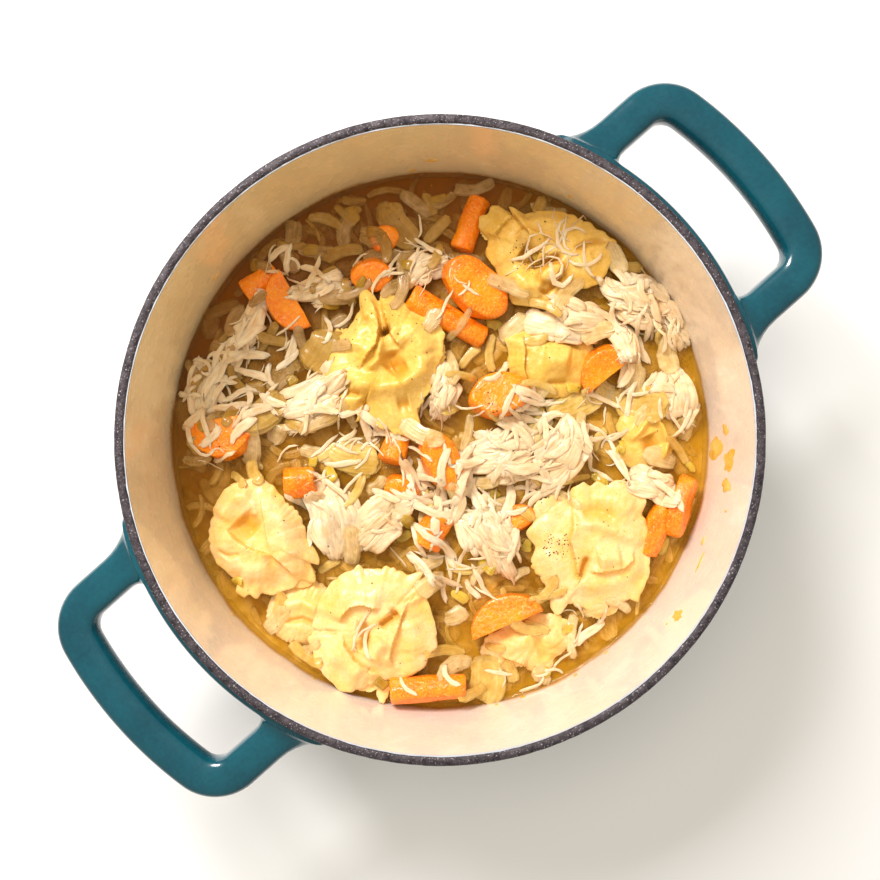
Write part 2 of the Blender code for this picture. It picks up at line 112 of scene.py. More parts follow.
def add(tree, kind, links=None, **settings):
    """A shader node with its settings, and its inputs joined or set."""
    node = tree.nodes.new("ShaderNode" + kind)
    for name, value in settings.items():
        setattr(node, name, value)
    for socket, value in (links or {}).items():
        if isinstance(value, bpy.types.NodeSocket):
            tree.links.new(value, node.inputs[socket])
        else:
            node.inputs[socket].default_value = value
    return node


floor_look, _, floor_shader = look("floor", Roughness=0.9)
floor_shader.inputs["Base Color"].default_value = tone(250, 250, 250)
floor_bm = bmesh.new()
bmesh.ops.create_grid(floor_bm, x_segments=1, y_segments=1, size=3)
floor_mesh = bpy.data.meshes.new("floor")
floor_bm.to_mesh(floor_mesh)
floor_bm.free()
floor_mesh.transform(Matrix.Translation((0, 0, BASE)))
floor_mesh.materials.append(floor_look)
floor = bpy.data.objects.new("floor", floor_mesh)
scene.collection.objects.link(floor)

# ---- The pot's casting ------------------------------------------------------------------------------
# One thick iron casting, turned here as a cup with a round foot, and enamelled teal outside. Its walls
# lean out a little so that it leaves the mould.

RIM_OUTER = 120.8 * MM
RIM_INNER = 116.9 * MM
WALL = 4 * MM
FLOOR = 5 * MM
LEAN = math.radians(2.6)
DRAFT = math.tan(LEAN)
OUTER_CORNER = 29 * MM
INNER_CORNER = 26 * MM
SKIN = 0.6 * MM  # the enamel's thickness inside
LIP_DROP = 3.6 * MM  # the rim's top to where the enamel outside stops
POT_STEPS = 160


def blend(tree, factor, first, second, mode="MIX"):
    """Two colours mixed by a factor."""
    links = {0: factor, 6: first, 7: second}
    return add(tree, "Mix", links, data_type="RGBA", blend_type=mode).outputs[2]


def spread(tree, value, low, high, to_low=0.0, to_high=1.0):
    """A value's range from low to high stretched to another range and held there."""
    links = {"Value": value, "From Min": low, "From Max": high, "To Min": to_low, "To Max": to_high}
    return add(tree, "MapRange", links).outputs["Result"]


def grainy(tree, coords, scale, detail=3.0, distortion=0.0):
    """Cloudy noise, about 0.3 to 0.7."""
    links = {"Vector": coords, "Scale": scale, "Detail": detail, "Distortion": distortion}
    return add(tree, "TexNoise", links).outputs["Fac"]


def patchy(tree, coords, scale, low, high):
    """A number that varies in clouds between low and high."""
    return spread(tree, grainy(tree, coords, scale), 0.3, 0.7, low, high)


def reckon(tree, operation, first, second=0.0):
    """One step of arithmetic."""
    return add(tree, "Math", {0: first, 1: second}, operation=operation).outputs[0]


def own_place(tree):
    """Where a point lies on the model."""
    return add(tree, "TexCoord").outputs["Object"]


def relief(tree, height, strength, depth):
    """A bumped normal, with the depth of its relief in metres."""
    links = {"Height": height, "Strength": strength, "Distance": depth}
    return add(tree, "Bump", links).outputs["Normal"]


def toward_shade(tree, low, high):
    """0 on the side away from the window, 1 on the side under it, changing between low and high."""
    parts = add(tree, "SeparateXYZ", {"Vector": own_place(tree)}).outputs
    window = SLANT + math.radians(WINDOW_BEARING)
    along_x = reckon(tree, "MULTIPLY", parts["X"], math.cos(window))
    along_y = reckon(tree, "MULTIPLY", parts["Y"], math.sin(window))
    return spread(tree, reckon(tree, "ADD", along_x, along_y), low, high)


def make_mottle():
    """The shared mottling: broad and fine clouds that take one colour to another."""
    group = bpy.data.node_groups.new("mottle", "ShaderNodeTree")
    for name, kind in (
        ("Place", "NodeSocketVector"),
        ("Broad", "NodeSocketFloat"),
        ("Fine", "NodeSocketFloat"),
        ("Dark", "NodeSocketColor"),
        ("Light", "NodeSocketColor"),
    ):
        group.interface.new_socket(name, in_out="INPUT", socket_type=kind)
    group.interface.new_socket("Colour", in_out="OUTPUT", socket_type="NodeSocketColor")
    group.interface.new_socket("Cloud", in_out="OUTPUT", socket_type="NodeSocketFloat")
    enter = group.nodes.new("NodeGroupInput").outputs
    leave = group.nodes.new("NodeGroupOutput").inputs
    broad = grainy(group, enter["Place"], enter["Broad"], 2.0)
    fine = grainy(group, enter["Place"], enter["Fine"], 4.0)
    broad_part = reckon(group, "MULTIPLY", broad, 0.65)
    mixed = reckon(group, "ADD", broad_part, reckon(group, "MULTIPLY", fine, 0.35))
    cloud = spread(group, mixed, 0.36, 0.64)
    group.links.new(blend(group, cloud, enter["Dark"], enter["Light"]), leave["Colour"])
    group.links.new(cloud, leave["Cloud"])
    return group


MOTTLE = make_mottle()


def mottled(tree, broad, fine, dark, light, place=None):
    """The mottling in a material. Broad and fine are cloud sizes in millimetres."""
    node = tree.nodes.new("ShaderNodeGroup")
    node.node_tree = MOTTLE
    tree.links.new(place or own_place(tree), node.inputs["Place"])
    node.inputs["Broad"].default_value = 1000 / broad
    node.inputs["Fine"].default_value = 1000 / fine
    for socket, colour in (("Dark", dark), ("Light", light)):
        if isinstance(colour, bpy.types.NodeSocket):
            tree.links.new(colour, node.inputs[socket])
        else:
            node.inputs[socket].default_value = colour
    return node.outputs["Colour"], node.outputs["Cloud"]


def piece(name, bm, finish, slot, *nodes, smooth=50, placed=None):
    """The bmesh as a finished piece that rides with the pot and stands for these nodes of the model."""
    bmesh.ops.recalc_face_normals(bm, faces=bm.faces)
    mesh = bpy.data.meshes.new(name)
    bm.to_mesh(mesh)
    bm.free()
    if placed:
        mesh.transform(placed)
    mesh.materials.append(finish)
    mesh.shade_smooth()
    mesh.set_sharp_from_angle(angle=math.radians(smooth))
    made = bpy.data.objects.new(name, mesh)
    scene.collection.objects.link(made)
    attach(made, "root")
    if nodes:
        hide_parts(*nodes)
    return made


def quarter(start, end, steps):
    """Points of a quarter ellipse that leaves start level and reaches end upright, both (radius, height)."""
    (r0, z0), (r1, z1) = start, end
    angles = [math.pi / 2 * i / steps for i in range(steps + 1)]
    return [(r0 + (r1 - r0) * math.sin(a), z1 + (z0 - z1) * math.cos(a)) for a in angles]


def inner_radius(height):
    """Inside of the upright wall at this height."""
    return RIM_INNER - (RIM_TOP - height) * DRAFT


def inner_profile(inset, top):
    """(radius, height) from the middle of the floor up the inside of the wall, inset from the enamel."""
    foot = BASE + FLOOR + INNER_CORNER
    side = inner_radius(foot) - inset
    corner = quarter((side - INNER_CORNER, BASE + FLOOR + inset), (side, foot), 12)
    return [(0, BASE + FLOOR + inset), *corner, (inner_radius(top) - inset, top)]


def turned(profile, steps=POT_STEPS):
    """A profile of (radius, height) points spun round the pot's axis into a closed shape."""
    bm = bmesh.new()
    verts = [bm.verts.new((r, 0, z)) for r, z in profile]
    edges = [bm.edges.new(pair) for pair in zip(verts, verts[1:])]
    bmesh.ops.spin(
        bm, geom=verts + edges, cent=(0, 0, 0), axis=(0, 0, 1), angle=TURN, steps=steps, use_merge=True
    )
    bmesh.ops.remove_doubles(bm, verts=bm.verts, dist=0.01 * MM)
    return bm


def teal_enamel():
    """Glossy vitreous enamel, fired in coats that pool and thin out a little."""
    made, tree, shader = look("teal_enamel", Roughness=0.2, Coat_Weight=0.7, Coat_Roughness=0.06)
    colour, _ = mottled(tree, 26, 1.5, tone(2, 66, 80), tone(8, 84, 98))
    tree.links.new(colour, shader.inputs["Base Color"])
    place = own_place(tree)
    tree.links.new(patchy(tree, place, 90, 0.16, 0.30), shader.inputs["Roughness"])
    tree.links.new(relief(tree, grainy(tree, place, 260, 2.0), 0.25, 0.3 * MM), shader.inputs["Normal"])
    return made


TEAL = teal_enamel()
foot = BASE + OUTER_CORNER
side = inner_radius(foot) + WALL
casting = [(0, BASE), *quarter((side - OUTER_CORNER, BASE), (side, foot), 14)]
shoulder, neck = RIM_TOP - 6 * MM, RIM_TOP - LIP_DROP
casting += [(inner_radius(shoulder) + WALL, shoulder), (inner_radius(neck) + WALL - 0.4 * MM, neck)]
casting += reversed(inner_profile(-SKIN, neck))
piece("pot_casting", turned(casting), TEAL, "enamel", "pot")

# ---- The bare rim -----------------------------------------------------------------------------------
# The lip is left without enamel so that the lid doesn't chip it. It is dark oiled iron, rough from the
# mould, and the enamel stops at it in a slightly wavering line.


def bare_iron():
    made, tree, shader = look("bare_iron", Metallic=0.35)
    colour, _ = mottled(tree, 3.2, 0.5, tone(46, 39, 44), tone(92, 83, 88))
    place = own_place(tree)
    # Painted glints: pale specks in the colour stand for sparkle on the rough iron.
    painted_glints = spread(tree, grainy(tree, place, 1500, 2.0), 0.62, 0.72)
    tree.links.new(blend(tree, painted_glints, colour, tone(190, 184, 186)), shader.inputs["Base Color"])
    tree.links.new(patchy(tree, place, 700, 0.42, 0.75), shader.inputs["Roughness"])
    tree.links.new(relief(tree, grainy(tree, place, 900, 4.0), 0.8, 0.5 * MM), shader.inputs["Normal"])
    return made


lip = [(RIM_INNER + 0.3 * MM, RIM_TOP - 3.9 * MM), (RIM_INNER + 0.3 * MM, RIM_TOP - 1.0 * MM)]
lip += [(RIM_INNER + 0.4 * MM, RIM_TOP - 0.45 * MM), (RIM_INNER + 1.0 * MM, RIM_TOP)]
lip += quarter((RIM_INNER + 2.2 * MM, RIM_TOP), (RIM_OUTER, RIM_TOP - 1.6 * MM), 5)
lip += [(RIM_OUTER, RIM_TOP - 3.0 * MM), (RIM_OUTER - 0.5 * MM, RIM_TOP - 3.9 * MM)]
rim_bm = turned([*lip, lip[0]], 360)
for vert in rim_bm.verts:
    rough = noise.noise(vert.co * 320) * 0.22 * MM + noise.noise(vert.co * 60) * 0.12 * MM
    outward = Vector((vert.co.x, vert.co.y, 0)).normalized()
    inside = 1 if vert.co.xy.length < RIM_INNER + 1.2 * MM else 0.5
    vert.co += outward * rough * inside - Vector((0, 0, abs(rough) * 0.5))
piece("pot_rim", rim_bm, bare_iron(), "bare_iron", "pot")

# ---- The lining -------------------------------------------------------------------------------------
# Cream enamel, a thin glassy skin over the inside. Broth has dried on it in a yellow line along the
# surface, and a few flecks of egg-yellow pasta and herb stick to it higher up.

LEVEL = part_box("broth")[1][2]


def cream_enamel():
    made, tree, shader = look("cream_enamel", Roughness=0.22, Coat_Weight=0.5, Coat_Roughness=0.08)
    place = own_place(tree)
    parts = add(tree, "SeparateXYZ", {"Vector": place}).outputs
    lit_wall_colour, cloud = mottled(tree, 40, 2.5, tone(242, 226, 212), tone(248, 236, 224))
    # Painted shade: the wall on the side under the window faces away from the lamp, and its colour turns a
    # warm yellow there.
    painted_wall_shade = reckon(tree, "POWER", toward_shade(tree, -75 * MM, 105 * MM), 1.2)
    colour = blend(tree, painted_wall_shade, lit_wall_colour, blend(tree, cloud, tone(253, 233, 178), tone(255, 240, 190)))
    # The wavering yellow line at the broth.
    waver = spread(tree, grainy(tree, place, 45, 4.0), 0.3, 0.7, -2.5 * MM, 2.5 * MM)
    above = reckon(tree, "SUBTRACT", reckon(tree, "SUBTRACT", parts["Z"], LEVEL), waver)
    line = spread(tree, above, 0.3 * MM, 3.8 * MM, 0.85, 0.0)
    colour = blend(tree, line, colour, tone(196, 140, 40))
    # The pale edge of the enamel under the bare lip.
    edge = spread(tree, parts["Z"], RIM_TOP - 2.1 * MM, RIM_TOP - 1.4 * MM)
    colour = blend(tree, edge, colour, tone(205, 214, 226))
    tree.links.new(colour, shader.inputs["Base Color"])
    tree.links.new(patchy(tree, place, 120, 0.18, 0.34), shader.inputs["Roughness"])
    tree.links.new(relief(tree, grainy(tree, place, 240, 2.0), 0.15, 0.3 * MM), shader.inputs["Normal"])
    return made


LIP_FOOT = RIM_TOP - 0.9 * MM
lining = inner_profile(0, LIP_FOOT) + [(inner_radius(LIP_FOOT) + SKIN, LIP_FOOT)]
lining += list(reversed(inner_profile(-SKIN * 0.95, LIP_FOOT - 0.5 * MM)))
piece("pot_lining", turned(lining), cream_enamel(), "cream_enamel", "pot")

# ---- The handles ------------------------------------------------------------------------------------
# Two loops cast in one with the pot and enamelled with it, each a level bar that leaves the wall, turns
# and runs round parallel to it. The roots swell into the wall, and a pad that shows past the lip joins them.

GRIP_RADIUS = 157.8 * MM
GRIP_SPREAD = 43.5 * MM
GRIP_BEND = 14 * MM
GRIP_WIDTH = 15 * MM
GRIP_DEPTH = 12.5 * MM
GRIP_DROP = 17 * MM
ROOT_FLARE = 7 * MM
ROOT_START = RIM_OUTER + 3.6 * MM
ROOT_REACH = 10 * MM  # from there to where the bar runs straight
PAD_REACH = RIM_OUTER + 5 * MM
PAD_DEPTH = 17 * MM
BAR_CORNERS = 0.6  # 1 is an oval section, towards 0 a square one
PAD_CORNERS = 0.35


def grip_line(bends=14, arcs=12):
    """(x, y, heading) along the grip's middle line, from where its bend starts to the middle of the bar."""
    centre_y = GRIP_SPREAD - GRIP_BEND
    centre_x = math.sqrt((GRIP_RADIUS - GRIP_BEND) ** 2 - centre_y**2)
    lean = math.atan2(centre_y, centre_x)
    line = []
    for i in range(bends + 1):
        a = (math.pi / 2 - lean) * i / bends
        line.append((centre_x + GRIP_BEND * math.sin(a), centre_y + GRIP_BEND * math.cos(a), -a))
    for i in range(1, arcs + 1):
        a = lean * (1 - i / arcs)
        line.append((GRIP_RADIUS * math.cos(a), GRIP_RADIUS * math.sin(a), a - math.pi / 2))
    return line


def grip_section(flare, sides=28):
    """(sideways, up) points of the bar: a rectangle with round corners, wider where it flares."""
    half_w = GRIP_WIDTH / 2 + flare * ROOT_FLARE
    half_d = GRIP_DEPTH / 2 + flare * ROOT_FLARE * 0.45
    points = []
    for i in range(sides):
        a = TURN * (i + 0.5) / sides
        c, s = math.cos(a), math.sin(a)
        sideways = half_w * math.copysign(abs(c) ** BAR_CORNERS, c)
        points.append((sideways, half_d * math.copysign(abs(s) ** BAR_CORNERS, s)))
    return points


def bridged(bm, rings):
    """Adds a solid whose sections are these rings of points, one after another, closed at both ends."""
    before = None
    for points in rings:
        ring = [bm.verts.new(point) for point in points]
        edges = [bm.edges.new((ring[i - 1], ring[i])) for i in range(len(ring))]
        if before:
            bmesh.ops.bridge_loops(bm, edges=before + edges)
        else:
            bm.faces.new(ring)
        before = edges
    bm.faces.new(ring)


def root_ring(step, radius, height):
    """A section near the wall: wide and curved to this radius at step 0, as narrow as the bar at 1."""
    straight = math.sqrt(ROOT_START**2 - GRIP_SPREAD**2) + ROOT_REACH
    ring = []
    for sideways, up in grip_section(1 - math.sqrt(1 - (1 - step) ** 2)):
        y = GRIP_SPREAD + sideways
        curved = math.sqrt(radius**2 - y**2)
        ring.append((curved + (straight - curved) * step, y, height + up))
    return ring


def grip_rings(height):
    """Sections of a whole grip at this height, from one root round to the other."""
    rings = [root_ring(0, inner_radius(height) + WALL * 0.55, height)]
    for step in (0.0, 0.04, 0.12, 0.25, 0.45, 0.7, 1):
        rings.append(root_ring(step, ROOT_START, height))
    for x, y, heading in grip_line():
        c, s = math.cos(heading), math.sin(heading)
        rings.append([(x - sideways * s, y + sideways * c, height + up) for sideways, up in grip_section(0)])
    return rings + [[(x, -y, z) for x, y, z in ring] for ring in reversed(rings[:-1])]


def pad_rings(height, steps=40, sides=28):
    """Sections of the pad, which sinks into the wall and stands out far enough to show past the lip."""
    middle = inner_radius(height) + WALL
    sweep = math.asin(GRIP_SPREAD / middle)
    rings = []
    for i in range(steps + 1):
        a = sweep * (2 * i / steps - 1)
        ring = []
        for k in range(sides):
            b = TURN * (k + 0.5) / sides
            proud = math.copysign(abs(math.cos(b)) ** PAD_CORNERS, math.cos(b))
            r = middle + max(-WALL * 0.45, (PAD_REACH - middle) * proud)
            ring.append((r * math.cos(a), r * math.sin(a), height + PAD_DEPTH / 2 * math.sin(b)))
        rings.append(ring)
    return rings


grip_height = RIM_TOP - GRIP_DROP
for name, turn in (("handle_right", 0), ("handle_left", math.pi)):
    grip_bm = bmesh.new()
    bridged(grip_bm, grip_rings(grip_height))
    bridged(grip_bm, pad_rings(grip_height))
    bmesh.ops.rotate(grip_bm, verts=grip_bm.verts, matrix=Matrix.Rotation(turn, 3, "Z"))
    piece(name, grip_bm, TEAL, "enamel", "pot")

# ---- The broth --------------------------------------------------------------------------------------
# Cloudy golden stock with fat on it. A deep body that can't be seen through lies a few millimetres down,
# and a clear tinted layer closes it off at the level, so that bits hang in it half seen.

CLEAR_DEPTH = 6 * MM


def deep_broth():
    made, tree, shader = look("deep_broth", Specular_IOR_Level=0.1)
    colour, cloud = mottled(tree, 17, 3.5, tone(150, 98, 16), tone(226, 168, 60))
    place = own_place(tree)
    milky = spread(tree, grainy(tree, place, 130, 5.0, 0.6), 0.5, 0.66)
    colour = blend(tree, milky, colour, tone(244, 198, 100))
    # Painted shade: the broth turns darker and browner on the side under the window, where the wall shades
    # it.
    painted_broth_shade = toward_shade(tree, -20 * MM, 75 * MM)
    tree.links.new(blend(tree, painted_broth_shade, colour, tone(158, 88, 8)), shader.inputs["Base Color"])
    tree.links.new(spread(tree, cloud, 0.0, 1.0, 0.3, 0.5), shader.inputs["Roughness"])
    return made


def clear_broth():
    made, tree, shader = look("clear_broth", Specular_IOR_Level=0.6)
    place = own_place(tree)
    colour, cloud = mottled(tree, 22, 4, tone(176, 116, 8), tone(226, 164, 30))
    parts = add(tree, "SeparateXYZ", {"Vector": place}).outputs
    flat = add(tree, "CombineXYZ", {"X": parts["X"], "Y": parts["Y"]}).outputs["Vector"]
    radius = add(tree, "VectorMath", {0: flat}, operation="LENGTH").outputs["Value"]
    fat = spread(tree, radius, inner_radius(LEVEL) - 9 * MM, inner_radius(LEVEL) - 1 * MM)
    colour = blend(tree, fat, colour, tone(232, 170, 20))
    # Painted shade: darker brown on the side under the window, where the wall shades the surface.
    colour = blend(tree, toward_shade(tree, 0, 85 * MM), colour, tone(146, 86, 10))
    tree.links.new(colour, shader.inputs["Base Color"])
    tree.links.new(spread(tree, cloud, 0.0, 1.0, 0.12, 0.30), shader.inputs["Alpha"])
    tree.links.new(spread(tree, grainy(tree, place, 140), 0.35, 0.65, 0.03, 0.12), shader.inputs["Roughness"])
    small = reckon(tree, "MULTIPLY", grainy(tree, place, 420, 2.0), 0.4)
    ripples = reckon(tree, "ADD", grainy(tree, place, 110, 2.0), small)
    tree.links.new(relief(tree, ripples, 0.5, 1.2 * MM), shader.inputs["Normal"])
    return made


deep = LEVEL - CLEAR_DEPTH
piece("broth_body", turned([*inner_profile(0.15 * MM, deep), (0, deep)]), deep_broth(), "broth", "broth")
edge_r = inner_radius(LEVEL)
under = LEVEL - 0.6 * MM
surface = [(0, under), (edge_r - 0.2 * MM, under), (edge_r - 0.1 * MM, LEVEL + 0.9 * MM)]
surface += [(edge_r - 0.7 * MM, LEVEL + 0.4 * MM), (edge_r - 2.0 * MM, LEVEL + 0.05 * MM), (0, LEVEL)]
piece("broth_surface", turned(surface), clear_broth(), "broth", "broth")

# ---- Tortellini -------------------------------------------------------------------------------------
# Rings of fresh egg pasta: a disc folded over a ball of filling, sealed along a crimped edge and wrapped
# round until its tips cross. Boiled soft, they lie with skirts spread and folds slumped. They are shaped
# in the food's own frame: millimetres across from the pot's axis and up from the broth.

FOOD = Matrix.Translation((0, 0, LEVEL)) @ Matrix.Rotation(SLANT, 4, "Z") @ Matrix.Scale(MM, 4)
SHEET = 0.65  # half the pasta's thickness
SEAM = 0.01  # points closer than this are one

